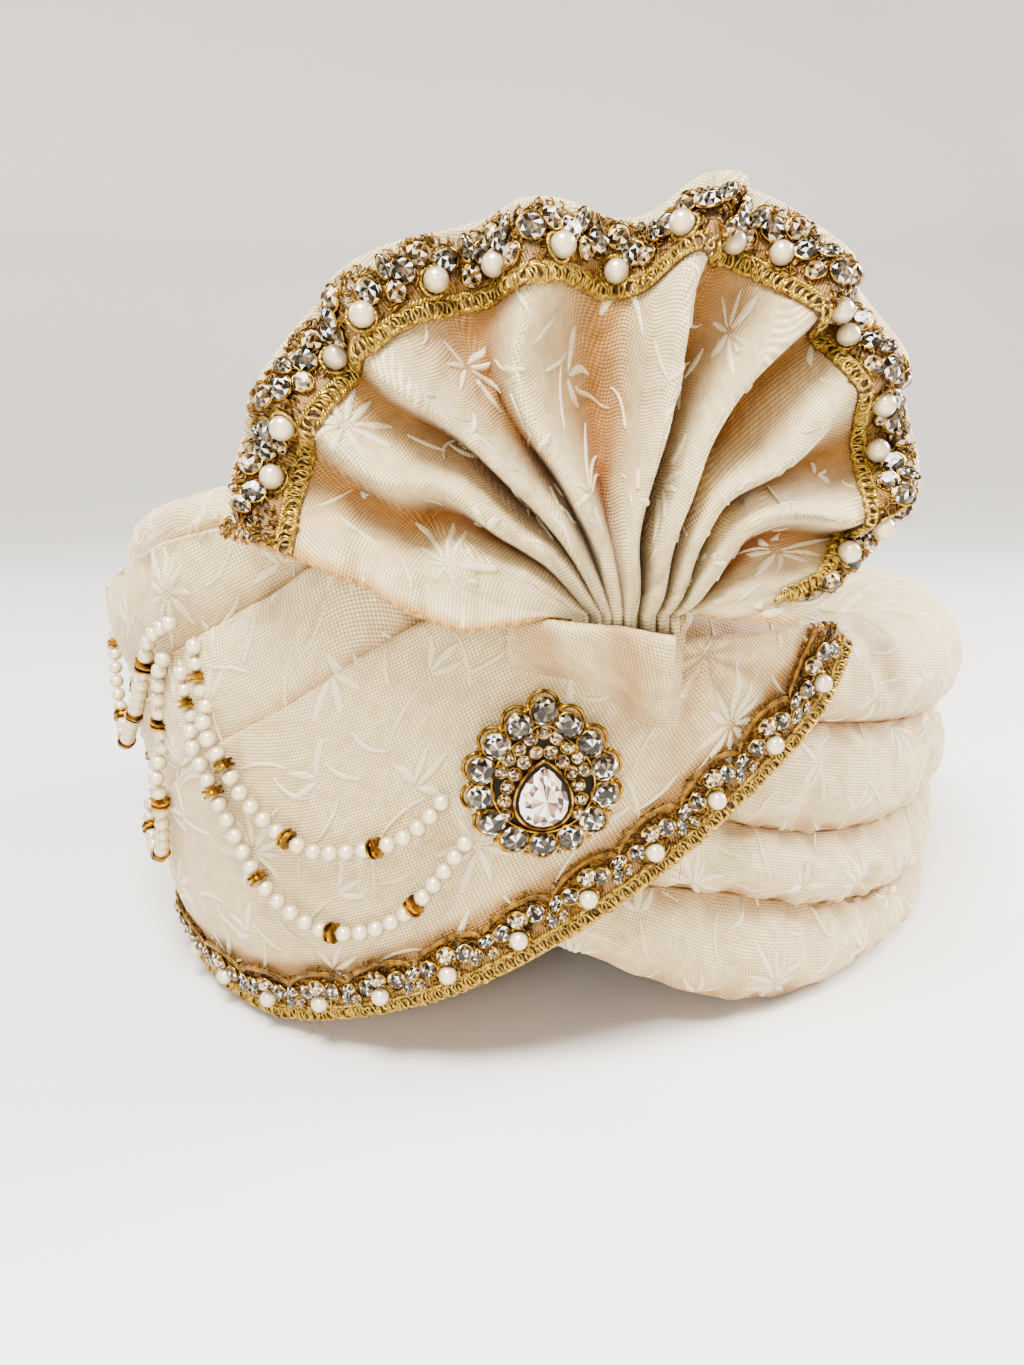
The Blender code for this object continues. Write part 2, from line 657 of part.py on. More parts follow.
def brooch(collection, cutters):
    """The brooch: a pear-shaped plate with its stones and their collets fused to it."""
    outline = brooch_outline(PLATE_SIDES, grow=OUTER_STONE / 2 - PLATE_INSET)
    plate = bmesh.new()
    low = [plate.verts.new((x, y, 0.0)) for x, y in outline]
    high = [plate.verts.new((x, y, BROOCH_PLATE)) for x, y in outline]
    for k in range(PLATE_SIDES):
        k2 = (k + 1) % PLATE_SIDES
        plate.faces.new((low[k], low[k2], high[k2], high[k]))
    plate.faces.new(low)
    plate.faces.new(high)
    bmesh.ops.recalc_face_normals(plate, faces=plate.faces)
    mesh = bpy.data.meshes.new("brooch")
    plate.to_mesh(mesh)
    plate.free()
    obj = add_object("brooch", mesh, collection, material("gold brooch with stones", ANTIQUE_GOLD, 0.3, 0.9))
    stones = bmesh.new()
    seat = BROOCH_PLATE / 2
    for centre in brooch_outline(OUTER_STONES):
        add_stone(stones, centre, round_outline(STONE_SIDES, OUTER_STONE - STONE_GAP), seat, OUTER_LEVELS)
    for centre in brooch_outline(INNER_STONES, INNER_SHARE):
        add_stone(stones, centre, round_outline(STONE_SIDES, INNER_STONE), seat, INNER_LEVELS)
    pear = pear_outline(CENTRE_SIDES, CENTRE_STONE_WIDTH, CENTRE_STONE_LENGTH)
    add_stone(stones, (0.0, 0.0), pear, seat, CENTRE_LEVELS)
    bmesh.ops.recalc_face_normals(stones, faces=stones.faces)
    stone_mesh = bpy.data.meshes.new("brooch_stones")
    stones.to_mesh(stone_mesh)
    stones.free()
    cutter = bpy.data.objects.new("brooch_stones", stone_mesh)
    cutters.objects.link(cutter)
    cutter.hide_render = True
    cutter.display_type = 'WIRE'
    union = obj.modifiers.new("stones", 'BOOLEAN')
    union.operation = 'UNION'
    union.object = cutter
    union.use_self = True
    frame = brooch_frame()
    obj.matrix_world = frame
    cutter.matrix_world = frame
    return obj


def pearl_string(name, route, collection):
    """A string of pearls as a plain tube along its route on the cloth."""
    azimuths = column(route, ROUTE_COLUMNS, "azimuth")
    heights = column(route, ROUTE_COLUMNS, "height") * MM
    clear = column(route, ROUTE_COLUMNS, "clear") * MM
    stand = STRING_DIAMETER / 2 + STRING_FIT
    coarse = place(skin_radius(azimuths, heights) + stand + clear, azimuths, heights)
    length = np.concatenate(([0.0], np.cumsum(np.linalg.norm(np.diff(coarse, axis=0), axis=-1))))
    at = np.linspace(0, length[-1], int(length[-1] / STRING_STEP) + 2)
    azimuth = smooth(length, azimuths, at)
    height = smooth(length, heights, at)
    off = stand + smooth(length, clear, at)
    points = place(skin_radius(azimuth, height) + off, azimuth, height)
    curve = bpy.data.curves.new(name, 'CURVE')
    curve.dimensions = '3D'
    curve.bevel_depth = STRING_DIAMETER / 2
    curve.bevel_resolution = 2
    curve.use_fill_caps = True
    line = curve.splines.new('POLY')
    line.points.add(len(points) - 1)
    for vert, co in zip(line.points, points):
        vert.co = (*co, 1.0)
    obj = bpy.data.objects.new(name, curve)
    curve.materials.append(material(name.replace("_", " "), PEARL, 0.25))
    collection.objects.link(obj)
    return obj


def new_collection(name):
    """A collection in the scene."""
    collection = bpy.data.collections.new(name)
    bpy.context.scene.collection.children.link(collection)
    return collection


def main():
    """Clears the scene and builds the turban."""
    for obj in list(bpy.data.objects):
        bpy.data.objects.remove(obj, do_unlink=True)
    parts = new_collection("tied_turban_pagri")
    cutters = new_collection("cutters")
    for number in (1, 2, 3, 4):
        roll(number, parts)
    crown(parts)
    front_panel(parts)
    panel_lace(parts)
    fan(parts)
    fan_lace(parts)
    fan_tie(parts)
    brooch(parts, cutters)
    for name, route in STRING_ROUTES.items():
        pearl_string(name, route, parts)


main()
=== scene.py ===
"""The looks of a tied turban pagri: ivory brocade over its wound rolls, front panel, fan and tie, gold lace
with pearls and cut stones, a brooch and four strings of pearls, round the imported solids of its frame.

The file is laid out as an add-on, and main() runs its operators in order. Lengths are metres, azimuths are
degrees from +X towards +Y, and the front of the turban faces -Y.
"""

import json
import math

import bmesh
import bpy
import numpy as np
from mathutils import Matrix, Vector

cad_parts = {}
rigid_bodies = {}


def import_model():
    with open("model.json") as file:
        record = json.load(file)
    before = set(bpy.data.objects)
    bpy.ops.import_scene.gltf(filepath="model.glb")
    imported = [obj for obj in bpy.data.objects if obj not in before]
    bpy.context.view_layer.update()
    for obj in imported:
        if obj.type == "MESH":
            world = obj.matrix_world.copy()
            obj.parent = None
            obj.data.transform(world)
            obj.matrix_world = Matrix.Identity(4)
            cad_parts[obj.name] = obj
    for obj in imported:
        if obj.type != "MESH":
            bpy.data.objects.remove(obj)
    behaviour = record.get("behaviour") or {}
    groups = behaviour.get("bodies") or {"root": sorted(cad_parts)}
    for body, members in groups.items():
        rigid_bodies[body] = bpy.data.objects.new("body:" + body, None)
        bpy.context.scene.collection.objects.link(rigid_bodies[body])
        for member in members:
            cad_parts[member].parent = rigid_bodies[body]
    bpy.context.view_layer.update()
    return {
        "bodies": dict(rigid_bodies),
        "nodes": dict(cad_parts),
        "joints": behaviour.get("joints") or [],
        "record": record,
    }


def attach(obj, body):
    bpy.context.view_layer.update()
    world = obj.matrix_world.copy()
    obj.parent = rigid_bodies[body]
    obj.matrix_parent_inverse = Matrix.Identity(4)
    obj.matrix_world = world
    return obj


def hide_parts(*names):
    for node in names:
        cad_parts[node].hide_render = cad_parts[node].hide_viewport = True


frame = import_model()
BODY = next(iter(frame["bodies"]))

bl_info = {
    "name": "Tied turban pagri",
    "version": (1, 0, 0),
    "blender": (4, 5, 0),
    "location": "View3D > Sidebar > Pagri",
    "description": "Dresses the frame of a tied turban in brocade, lace, pearls and stones",
    "category": "Object",
}

MM = 0.001

# Head opening and wound body, seen from above: two ovals with one long axis
LONG_AXIS = 230.0
OPENING_LENGTH = 196 * MM
OPENING_WIDTH = 158 * MM
BODY_LENGTH = 274 * MM
BODY_WIDTH = 220 * MM
LEAN = 0.05
SWELL_START = 35 * MM
SWELL_RISE = 60 * MM
TUCK = 6.5 * MM
TUCK_RISE = 30 * MM

# Rolls: their creases and laps, the shade beside them and the outline of the top roll's crest
CREASE_DEPTH = 6.5 * MM
CREASE_SHARPNESS = 2.4
LAP_DEPTH = 3.6 * MM
LAP_EDGE = 0.85
LAP_FOLD = 0.8 * MM
SHADE_WIDTH = 2.4 * MM
TOP_LAP_DEPTH = 5 * MM
ROLL_GAP = 0.3 * MM
CREST_COLUMNS = ("foot", "inwards", "rise")
CREST = (
    (1.0, 0.0, 0.0), (0.3, 0.0, 0.16), (0.0, 0.0, 0.42), (0.0, 0.05, 0.70), (0.0, 0.20, 0.90),
    (0.0, 0.48, 1.0), (0.0, 0.76, 0.92), (0.0, 0.94, 0.76), (0.0, 1.0, 0.55),
)
CREST_FULLEST = 0.45
# Rolls: azimuth in degrees and, there, heights and widths in mm and how far the laps are formed
SECTION_COLUMNS = ("azimuth", "foot", "crease_3", "crease_2", "crease_1", "crest", "swell", "draw_in", "lap")
SECTIONS = (
    (0, 0, 12, 36, 60, 94, -1, 0, 0),
    (30, 0, 13, 37, 61, 95, -1, 0, 0),
    (60, 0, 16, 40, 64, 98, 0, 0, 0),
    (90, 0, 19, 44, 68, 101, 1, 0, 0),
    (120, 0, 22, 48, 73, 104, 3, 0, 0),
    (150, 0, 24, 53, 80, 108, 7, 0, 0.1),
    (180, 0, 23, 62, 91, 115, 12, 1, 0.6),
    (200, 0, 19, 73, 102, 122, 11, 3, 1),
    (215, 0, 18, 85, 113, 127, 6, 3, 1),
    (228, 0, 20, 98, 122.5, 131, 3, 3, 1),
    (238, 2, 24, 111, 127, 132, 1, 3, 1),
    (246, 14, 33, 121, 126.5, 131, 0, 3, 1),
    (254, 25, 40, 109, 116, 126, 0, 3, 1),
    (264, 29, 43, 83, 101, 118, 0, 3, 0.6),
    (275, 18, 42, 66, 90, 112, 0, 2.5, 0.2),
    (286, 7, 36, 55, 80, 107, 0, 1.5, 0),
    (300, 1, 27, 47, 76, 103, -1, 0, 0),
    (315, 0, 20, 42, 71, 99, -1, 0, 0),
    (330, 0, 15, 39, 66, 96, -1, 0, 0),
)
ROLL_LEVELS = {1: ("crease_1", "crest"), 2: ("crease_2", "crease_1"), 3: ("crease_3", "crease_2"),
               4: ("foot", "crease_3")}

# Rolls: the grid of a face, the rows that the weave is evened out over and the padding simulation
ROLL_COLUMNS = 420
FACE_STEPS = 36
EVEN_ROWS = 40
PUFF_ROW_STEP = 3
PUFF_COLUMN_STEP = 3
PUFF_FRAMES = 18
PUFF_EXCESS = 0.03
PUFF_PRESSURE = 200.0
PUFF_MOST = 2.4 * MM

# Front panel: its cloth, the shade above its upper edge and the wrinkles at a share of its length
PANEL_CLOTH = 2.6 * MM
PANEL_FIT = 0.7 * MM
EDGE_SHADE = 2.6 * MM
WRINKLE = 0.45
WRINKLES_AT = 0.27
PANEL_ALONG = 300
PANEL_ACROSS = 84
EDGE_SAMPLES = 200
# Front panel, from the foot of the left side to the top right: azimuths in degrees, heights in mm
PANEL_COLUMNS = ("low_azimuth", "low_height", "top_azimuth", "top_height")
PANEL_ROWS = (
    (172, 1.3, 170, 20),
    (186, 1.3, 184, 21),
    (200, 1.3, 197, 27),
    (213, 1.3, 210, 43),
    (225, 1.3, 221, 59),
    (234, 1.8, 231, 75),
    (242, 7, 241, 89),
    (251, 15, 250, 104),
    (260, 25.5, 257, 111),
    (269, 37.5, 264, 107),
    (277.5, 50, 271, 104),
    (285, 62.5, 278, 103.5),
    (292, 74.5, 284, 103.5),
    (297, 86, 290, 103.5),
    (299.5, 98, 296, 104),
)

# Fan: the line that its pleats rise from, its rim as angle and reach about the middle of that line, and
# its ridges as the angle that each has at the shares of the height in RIDGE_LEVELS
FAN_X = 3.5 * MM
FAN_Z = 110.7 * MM
FAN_FRONT = 134.1 * MM
FAN_BOW_X = -26 * MM
FAN_BOW = 2.8
FAN_LEAN = 0.16
FAN_BASE_LEFT = -8 * MM
FAN_BASE_RIGHT = 16 * MM
FAN_STEM = 4 * MM
FAN_CLOTH = 1.2 * MM
FAN_PLAIN = 24 * MM
FAN_ALONG = 560
FAN_ACROSS = 84
FAN_RIM_COLUMNS = ("angle", "reach")
FAN_RIM = (
    (-6, 36), (5, 50), (12, 62), (20, 71), (30, 76.5), (40, 81), (50, 84), (60, 87.5), (72, 89.5),
    (80, 88), (86, 80.5), (92, 79), (101, 83), (114, 84), (126, 88), (140, 89), (154, 88), (168, 85.5),
)
RIDGE_LEVELS = (0.0, 0.15, 0.30, 0.50, 1.0)
RIDGE_COLUMNS = ("at_base", "at_15", "at_30", "at_50", "at_rim", "depth", "valley")
RIDGES = (
    (-5, 5, 10, 11, 1, 4.0, 0.60),
    (9, 33, 41, 28, 19, 7.5, 0.72),
    (27, 50, 57, 46, 40, 9.0, 0.78),
    (49, 67, 67.5, 63, 57, 10.5, 0.84),
    (80, 87, 85.5, 81, 75, 11.0, 0.52),
    (99, 102.5, 109, 112, 105, 10.5, 0.22),
    (114, 117, 123, 129.5, 131, 9.5, 0.26),
    (127, 129, 139, 146, 151, 7.5, 0.34),
    (150, 150, 158, 164, 168, 4.5, 0.50),
)
PLEAT_SWING = ((0.0, 0.12, 0.35, 0.65, 1.0), (0.32, 0.76, 1.12, 0.98, 0.48))
VALLEY_SHARPNESS = (2.2, 0.72)
FOLD_SWAY = 4.2
HEM_SHARE = 0.012
HEM_CURL = 4.5 * MM

# Fan tie
TIE_COLUMNS = ("azimuth", "low_height", "top_height", "swell")
TIE_ROWS = (
    (261, 99, 110, 0.5),
    (264, 97.5, 110.5, 4.2),
    (267.5, 95.5, 110, 7.2),
    (271, 90, 109, 7.8),
    (274, 85, 107.5, 8.2),
    (277.5, 84, 106, 8.4),
)
TIE_CLOTH = 2.2 * MM
TIE_FIT = 0.5 * MM
TIE_FULLEST = 0.87
TIE_FOLD_AZIMUTH = 275.4
TIE_FOLD_LEAN = 2.3
TIE_FLAT_SHARE = 0.8
TIE_DIP = 2.2 * MM
TIE_ALONG = 90
TIE_ACROSS = 48

# Crown
CROWN_WALL = 2.5 * MM
CROWN_TOP = 104 * MM
CROWN_RIM = 76 * MM
CROWN_FIT = 0.5 * MM
CROWN_AROUND = 144
CROWN_RINGS = 26

# Lace: how wide it is, and what one repeat of it holds. Places are in mm along the repeat and across from
# the braided edge; stones have a length and a width in mm and a turn in degrees.
LACE_WIDTH = 15.5 * MM
LACE_FIT = 0.75 * MM
LACE_INSET = 1.1 * MM
FAN_LACE_WIDTH = 15.5 * MM
FAN_LACE_INSET = 1.0 * MM
FAN_LACE_START = 0.055
# Width of the painted warm shade on the cloth beside the lace
LACE_EDGE_SHADE_WIDTH = 2.6 * MM
LACE_REPEAT = 18 * MM
SCALLOP_STEP = 0.6 * MM
SCALLOP_REACH = 16 * MM
PANEL_LACE_ROWS = 260
FAN_LACE_ROWS = 420
LACE_COLUMNS = 15
# Loose threads: share of the band's length where each starts, its length and its bend in mm
LOOSE_THREADS = (
    (0.47, 7.5, 2.5),
    (0.495, 5.0, -1.8),
    (0.80, 4.0, 1.2),
)
# Braid: its width, the lift and step of its cords, and its rows of loops as shift along in pitches, place
# across in mm, lean and size in mm
BRAID_WIDTH = 3.9 * MM
CORD_LIFT = 0.45 * MM
CORD_STEP = 0.85 * MM
LOOP_LIFT = 0.7 * MM
BRAID_LOOPS = ((0.0, 1.75, 0.32, 3.5), (0.5, 1.95, -0.30, 3.0))
NET_WIDTH = 10.5 * MM
PEARL_ACROSS = 6.9
STONE_LIFT = 0.75 * MM
# Stones: place along and across, length, width, turn and tones
LACE_STONES = (
    (-4.0, 10.6, 4.1, 4.1, 0, "clear"),
    (0.4, 12.4, 4.4, 4.4, 0, "amber"),
    (4.6, 10.8, 4.2, 4.2, 0, "clear"),
    (8.0, 7.6, 4.5, 2.9, 62, "clear"),
    (-8.4, 10.8, 4.3, 2.8, 20, "clear"),
    (-6.6, 6.8, 3.6, 2.6, 75, "amber"),
)
FAN_STONES = (
    (-4.6, 10.4, 4.3, 4.3, 0, "clear"),
    (0.2, 13.0, 4.1, 4.1, 0, "amber"),
    (5.0, 10.8, 4.4, 4.4, 0, "clear"),
    (8.8, 12.8, 4.5, 2.8, 70, "clear"),
    (-8.6, 7.4, 3.8, 3.8, 0, "amber"),
)

# Brooch
BROOCH_AZIMUTH = 264.0
BROOCH_HEIGHT = 75.5 * MM
BROOCH_REACH = (7.0, 15 * MM)
BROOCH_PLATE = 1.8 * MM
BROOCH_STAND = 0.7 * MM
BROOCH_RADIUS = 13.6 * MM
BROOCH_PEAR = 1.9 * MM
BROOCH_TIP = 3.2 * MM
BROOCH_TIP_ANGLE = math.radians(22)
OUTER_STONES = 14
OUTER_STONE = 6.2 * MM
INNER_STONES = 17
INNER_STONE = 3.1 * MM
INNER_REACH = 2.0 * MM
INNER_LOWEST = -9 * MM
TOP_STONES = 19
TOP_SHARE = 0.69
TOP_LOWEST = 1.0 * MM
CENTRE_STONE_WIDTH = 13.0 * MM
CENTRE_STONE_LENGTH = 16.0 * MM
CENTRE_DROP = 3.6 * MM
PEAR_FULLNESS = 1.16
PEAR_POINT = 0.55

# Old yellowish stains on the top roll at the right: x, y, z and radius in mm, and strength
STAINS = (
    (74.7, -83.1, 90.4, 5.0, 0.55),
    (87.5, -54.0, 96.0, 7.0, 0.45),
    (69.8, -82.9, 94.5, 3.0, 0.35),
)

# Strings of pearls: azimuth in degrees and height in mm of each point that a string passes, and how far in
# mm it hangs clear of the cloth there
STRING_STAND = 2.6 * MM
STRING_STEPS = 600
STRING_SMOOTHING = 25
EDGE_MARGIN = 7 * MM
ROUTE_COLUMNS = ("azimuth", "height", "clear")
STRING_ROUTES = {
    "pearl_swag_front_upper": (
        (255.6, 71, 0), (253.3, 64, 0), (251, 59.8, 0), (248.5, 57.3, 0), (245.5, 55.6, 0), (242.7, 54.8, 0),
        (240, 56.8, 0), (237.3, 61, 0), (235.3, 65.5, 0), (234, 71.5, 0.4), (232.3, 78, 0.5), (231, 84, 0.4),
        (230.2, 90, 0), (230, 97, 0), (230.3, 103, 0),
    ),
    "pearl_swag_front_lower": (
        (257.6, 61.5, 0), (256.3, 57, 0), (254.8, 51.8, 0), (253, 46.2, 0), (250.7, 40.8, 0),
        (248.2, 37.3, 0), (245.5, 35.3, 0), (242.5, 35.2, 0), (240, 37.6, 0), (237.5, 41.4, 0),
        (235.3, 47, 0), (234, 53, 0), (232.7, 59, 0), (231.2, 66, 0), (229.7, 74, 0), (228.3, 82, 0),
        (227.7, 90, 0), (227.7, 97, 0),
    ),
    "pearl_swag_side_upper": (
        (227.5, 103.9, 0), (225.3, 101.7, 0), (222.8, 97.8, 0.2), (221.3, 91.8, 0.2), (218.8, 83.3, 0.4),
        (213.5, 72.3, 1), (208.5, 64, 3), (204, 59.5, 5), (200, 61.5, 5.2), (197, 68, 4.9), (194.5, 78, 3),
        (192, 90, 0),
    ),
    "pearl_swag_side_lower": (
        (225.5, 95.3, 0), (224, 91.2, 0), (223.2, 86, 0), (222, 78, 0), (221, 69, 0), (220.8, 60, 0.2),
        (219.7, 50, 0.3), (217, 39, 0.4), (212, 32.5, 0.4), (207.5, 34.5, 0.9), (204, 43, 1), (201, 52, 0.2),
        (198, 61, 0), (194.5, 70, 0), (190.5, 78, 0), (186.5, 85, 0),
    ),
}
PEARLS_TO_RONDELLE = 5
RONDELLE_DIAMETER = 4.9 * MM
RONDELLE_LENGTH = 1.9 * MM
PEARL_SPACING = 1.04

# Woven figure of the brocade: strokes of one repeat, each a curved leaf or stem, as x and y in mm, the way
# it heads in degrees, its length in mm, how far it bends in degrees and its width in mm at the middle
STROKES = (
    (0.2, 1.2, 95, 13.5, -8, 2.3),
    (1.0, 1.0, 62, 8.5, 10, 2.1),
    (1.3, 0.5, 36, 7.0, 16, 1.9),
    (1.5, 0.0, 4, 8.0, -14, 1.8),
    (1.1, -0.8, -34, 8.5, -12, 2.0),
    (0.3, -1.3, -84, 9.5, 8, 2.6),
    (-0.8, -1.1, 232, 11.5, -10, 2.4),
    (-1.5, -0.2, 200, 9.0, 14, 1.9),
    (-1.3, 0.6, 160, 7.5, -12, 1.9),
    (-0.7, 1.1, 126, 9.0, 10, 2.0),
    (-12.5, -8.0, 230, 12.0, -34, 1.25),
    (-20.0, -17.0, 118, 13.0, 30, 1.05),
    (-26.0, -6.0, 84, 14.0, -48, 1.05),
    (-24.0, 8.0, 158, 7.5, 20, 2.3),
    (-24.0, 8.4, 104, 8.0, -16, 2.2),
    (-23.2, 8.2, 52, 8.5, 22, 2.2),
    (-22.6, 7.4, 10, 7.0, -20, 1.9),
    (-13.0, 16.0, 66, 13.0, -52, 1.1),
    (-5.0, 20.5, -20, 11.0, 60, 1.1),
    (11.5, 9.0, -66, 8.0, 40, 1.05),
    (13.5, 14.5, 78, 12.5, 34, 1.3),
    (12.5, -8.5, -28, 12.0, 56, 1.1),
    (23.5, -6.0, 96, 13.5, -40, 1.15),
    (26.5, 8.5, 60, 7.5, -18, 2.4),
    (26.0, 8.6, 112, 7.0, 20, 2.1),
    (27.0, 8.0, 18, 8.0, 18, 2.0),
    (20.0, -17.0, 202, 11.0, -44, 1.15),
    (9.0, -21.0, 128, 9.0, -40, 2.3),
    (8.5, -21.6, 190, 7.5, 24, 2.0),
    (9.4, -22.2, 248, 8.0, -20, 2.1),
)
FIGURE_PITCH = (58 * MM, 48 * MM)
FIGURE_LOWEST = 1.5 * MM
FIGURE_MARGIN = 0.04
FIGURE_SPIN = 8
STROKE_STEPS = 13
STROKE_THINNEST = 0.55
STROKE_SECTION_COLUMNS = ("across", "rise")
STROKE_SECTION = ((-1.0, -0.3), (-0.62, 0.7), (0.0, 1.0), (0.62, 0.7), (1.0, -0.3))
STROKE_HEIGHT = 0.44 * MM
LEAST_SPREAD = 0.6
MOST_SPREAD = 1.5

# Weave: how far it and the figure's floats are turned on the cloth in degrees, how close its knuckles are
# the other way as a share of its pitch, and the pitch of the floats and of the net's threads
WEAVE_TURN = 38
FLOAT_TURN = 34
WEAVE_SQUASH = 0.74
FLOAT_PITCH = 0.5 * MM
NET_PITCH = 0.7 * MM

# Stones: the share of a stone that its table takes, and the tones of its facets: painted reflections and
# glints that stand for what each facet's foil sends back
TABLE_SHARE = 0.55
PAINTED_FACET_REFLECTIONS = {
    "clear": ("FFFFFF", "3E3424", "14100A", "F2E8D4", "241C10", "4C3A26", "0A0804", "544A38", "7C7058",
              "282014", "100C06", "72664C", "322612", "18120A", "060402"),
    "amber": ("E8D8B4", "6A4A26", "281A08", "AE9468", "181004", "80623A", "3C280E", "D2BC92", "120A02",
              "543C1C"),
    "centre": ("FFFFFF", "F4ECDA", "B08C76", "5E4634", "DCC6AC", "FFFAEE", "2A1E12", "94745C", "CCAE94"),
}

# Stage: the floor's profile as radius and height, the lights as name, place, size, power and what each
# aims at, and the camera
FLOOR_PROFILE = ((0.0, 0.0), (0.9, 0.0), (1.2, 0.02), (1.45, 0.12), (1.6, 0.32), (1.66, 0.6), (1.68, 1.6))
WORLD_STRENGTH = 0.24
LIGHTS = (
    ("overhead", (-0.16, -0.42, 0.88), 0.36, 31.0, (0.0, 0.0, 0.1)),
    ("right rear", (0.85, 0.15, 0.60), 0.5, 36.0, (0.05, 0.0, 0.08)),
    ("left rear", (-0.80, 0.35, 0.60), 0.5, 9.0, (0.0, 0.0, 0.08)),
    ("front fill", (-0.15, -0.95, 0.42), 0.26, 3.5, (0.0, 0.0, 0.1)),
)
CAMERA_PLACE = (-20 * MM, -362 * MM, 155 * MM)
CAMERA_TILT = 14.4
SENSOR = 24.0
LENS = SENSOR * 1130 / 1365


def column(table, names, name):
    """One named column of a table."""
    return np.array([row[names.index(name)] for row in table], float)


def smooth(x, y, at, period=None):
    """A smooth curve through the points x, y, read at the places given; round and round with a period."""
    if period:
        x = np.concatenate((x[-2:] - period, x, x[:2] + period))
        y = np.concatenate((y[-2:], y, y[:2]))
        at = np.mod(np.asarray(at, float) - x[2], period) + x[2]
    slope = np.gradient(y, x)
    at = np.asarray(at, float)
    i = np.clip(np.searchsorted(x, at) - 1, 0, len(x) - 2)
    step = x[i + 1] - x[i]
    t = np.clip((at - x[i]) / step, 0.0, 1.0)
    return ((2 * t**3 - 3 * t**2 + 1) * y[i] + (t**3 - 2 * t**2 + t) * step * slope[i]
            + (3 * t**2 - 2 * t**3) * y[i + 1] + (t**3 - t**2) * step * slope[i + 1])


def ease(x):
    """A ramp from 0 to 1 that starts and ends gently."""
    x = np.clip(x, 0.0, 1.0)
    return x * x * (3 - 2 * x)


def unit(vectors):
    """Vectors brought to length 1."""
    return vectors / np.maximum(np.linalg.norm(vectors, axis=-1, keepdims=True), 1e-12)


def section(name, azimuth):
    """A column of the body's sections at an azimuth in degrees."""
    values = column(SECTIONS, SECTION_COLUMNS, name)
    return smooth(column(SECTIONS, SECTION_COLUMNS, "azimuth"), values, azimuth, 360.0)


def oval(length, width, azimuth):
    """Radius of an oval whose long axis points to LONG_AXIS."""
    turn = np.radians(np.asarray(azimuth, float) - LONG_AXIS)
    a = length / 2
    b = width / 2
    return a * b / np.hypot(a * np.sin(turn), b * np.cos(turn))


def body_radius(azimuth, height):
    """Radius of the rolls where they are fullest."""
    swell = section("swell", azimuth) * MM * ease((height - SWELL_START) / SWELL_RISE)
    draw_in = section("draw_in", azimuth) * MM
    tuck = TUCK * np.clip(section("lap", azimuth), 0, 1) * (1 - ease(height / TUCK_RISE))
    return oval(BODY_LENGTH, BODY_WIDTH, azimuth) + LEAN * height + swell - draw_in - tuck


def place(radius, azimuth, height):
    """Points from radius, azimuth in degrees and height."""
    turn = np.radians(azimuth)
    return np.stack(np.broadcast_arrays(radius * np.cos(turn), radius * np.sin(turn), height), -1)


def ripple(points, wavelength, seed, terms=7):
    """A smooth irregular swell between about -1 and 1 over points in metres."""
    random = np.random.default_rng(seed)
    total = np.zeros(points.shape[:-1])
    for _ in range(terms):
        direction = unit(random.normal(size=points.shape[-1]))
        length = wavelength * random.uniform(0.7, 1.6)
        total += np.sin(points @ direction * 2 * np.pi / length + random.uniform(0, 2 * np.pi))
    return total / terms**0.5 / 1.4


def grid_normals(points, closed=False):
    """Normals of a grid of points, across its rows and columns; its rows may close on themselves."""
    if closed:
        wrapped = np.concatenate((points[-2:-1], points, points[1:2]))
        along = (wrapped[2:] - wrapped[:-2])
    else:
        along = np.gradient(points, axis=0)
    return unit(np.cross(along, np.gradient(points, axis=1)))


def distances(points):
    """How long a line of points is up to each of them."""
    return np.concatenate(([0.0], np.cumsum(np.linalg.norm(np.diff(points, axis=0), axis=-1))))


def on_line(spots, run, values):
    """A line's values at distances along it; run is how long it is up to each of its points."""
    return np.stack([np.interp(spots, run, values[:, k]) for k in range(values.shape[1])], -1)


class Cloth:
    """A face of cloth as a grid of points, measured in metres along its rows and across its columns; the
    measure across is evened out over neighbouring rows, so that folds don't make the weave wander."""

    def __init__(self, points, closed=False):
        self.points = points
        self.normals = grid_normals(points, closed)
        middle = points[:, points.shape[1] // 2]
        self.along = distances(middle)
        steps = np.linalg.norm(np.diff(points, axis=1), axis=-1)
        half = EVEN_ROWS // 2
        steps = np.pad(steps, ((half, half), (0, 0)), 'wrap' if closed else 'edge')
        sums = np.cumsum(np.concatenate((np.zeros((1, steps.shape[1])), steps)), 0)
        steps = (sums[2 * half + 1:] - sums[:-2 * half - 1]) / (2 * half + 1)
        self.across = np.concatenate((np.zeros((len(points), 1)), np.cumsum(steps, axis=1)), 1)

    def uv(self):
        """The cloth's own coordinates at every point, in metres."""
        return np.stack(np.broadcast_arrays(self.along[:, None], self.across), -1)

    def at(self, along, across):
        """Points, normals and the directions along the cloth, and which of the places are on it."""
        rows, columns = self.across.shape
        i = np.clip(np.interp(along, self.along, np.arange(rows)), 0, rows - 1.001)
        i0 = i.astype(int)
        f = (i - i0)[:, None]
        reach = self.across[i0] * (1 - f) + self.across[i0 + 1] * f
        j0 = np.clip((reach <= across[:, None]).sum(1) - 1, 0, columns - 2)
        pick = np.arange(len(j0))
        g = (across - reach[pick, j0]) / np.maximum(reach[pick, j0 + 1] - reach[pick, j0], 1e-9)
        inside = (along >= 0) & (along <= self.along[-1]) & (g >= 0) & (g <= 1)
        g = np.clip(g, 0, 1)[:, None]

        def read(grid):
            low = grid[i0, j0] * (1 - f) + grid[i0 + 1, j0] * f
            high = grid[i0, j0 + 1] * (1 - f) + grid[i0 + 1, j0 + 1] * f
            return low * (1 - g) + high * g

        ahead = unit(self.points[i0 + 1, j0] - self.points[i0, j0])
        return read(self.points), unit(read(self.normals)), ahead, inside


def linear(colour):
    """A linear colour with alpha from an sRGB hex value such as "F0E6D2"."""
    values = [int(colour[k:k + 2], 16) / 255 for k in (0, 2, 4)]
    return tuple(c / 12.92 if c <= 0.04045 else ((c + 0.055) / 1.055) ** 2.4 for c in values) + (1.0,)


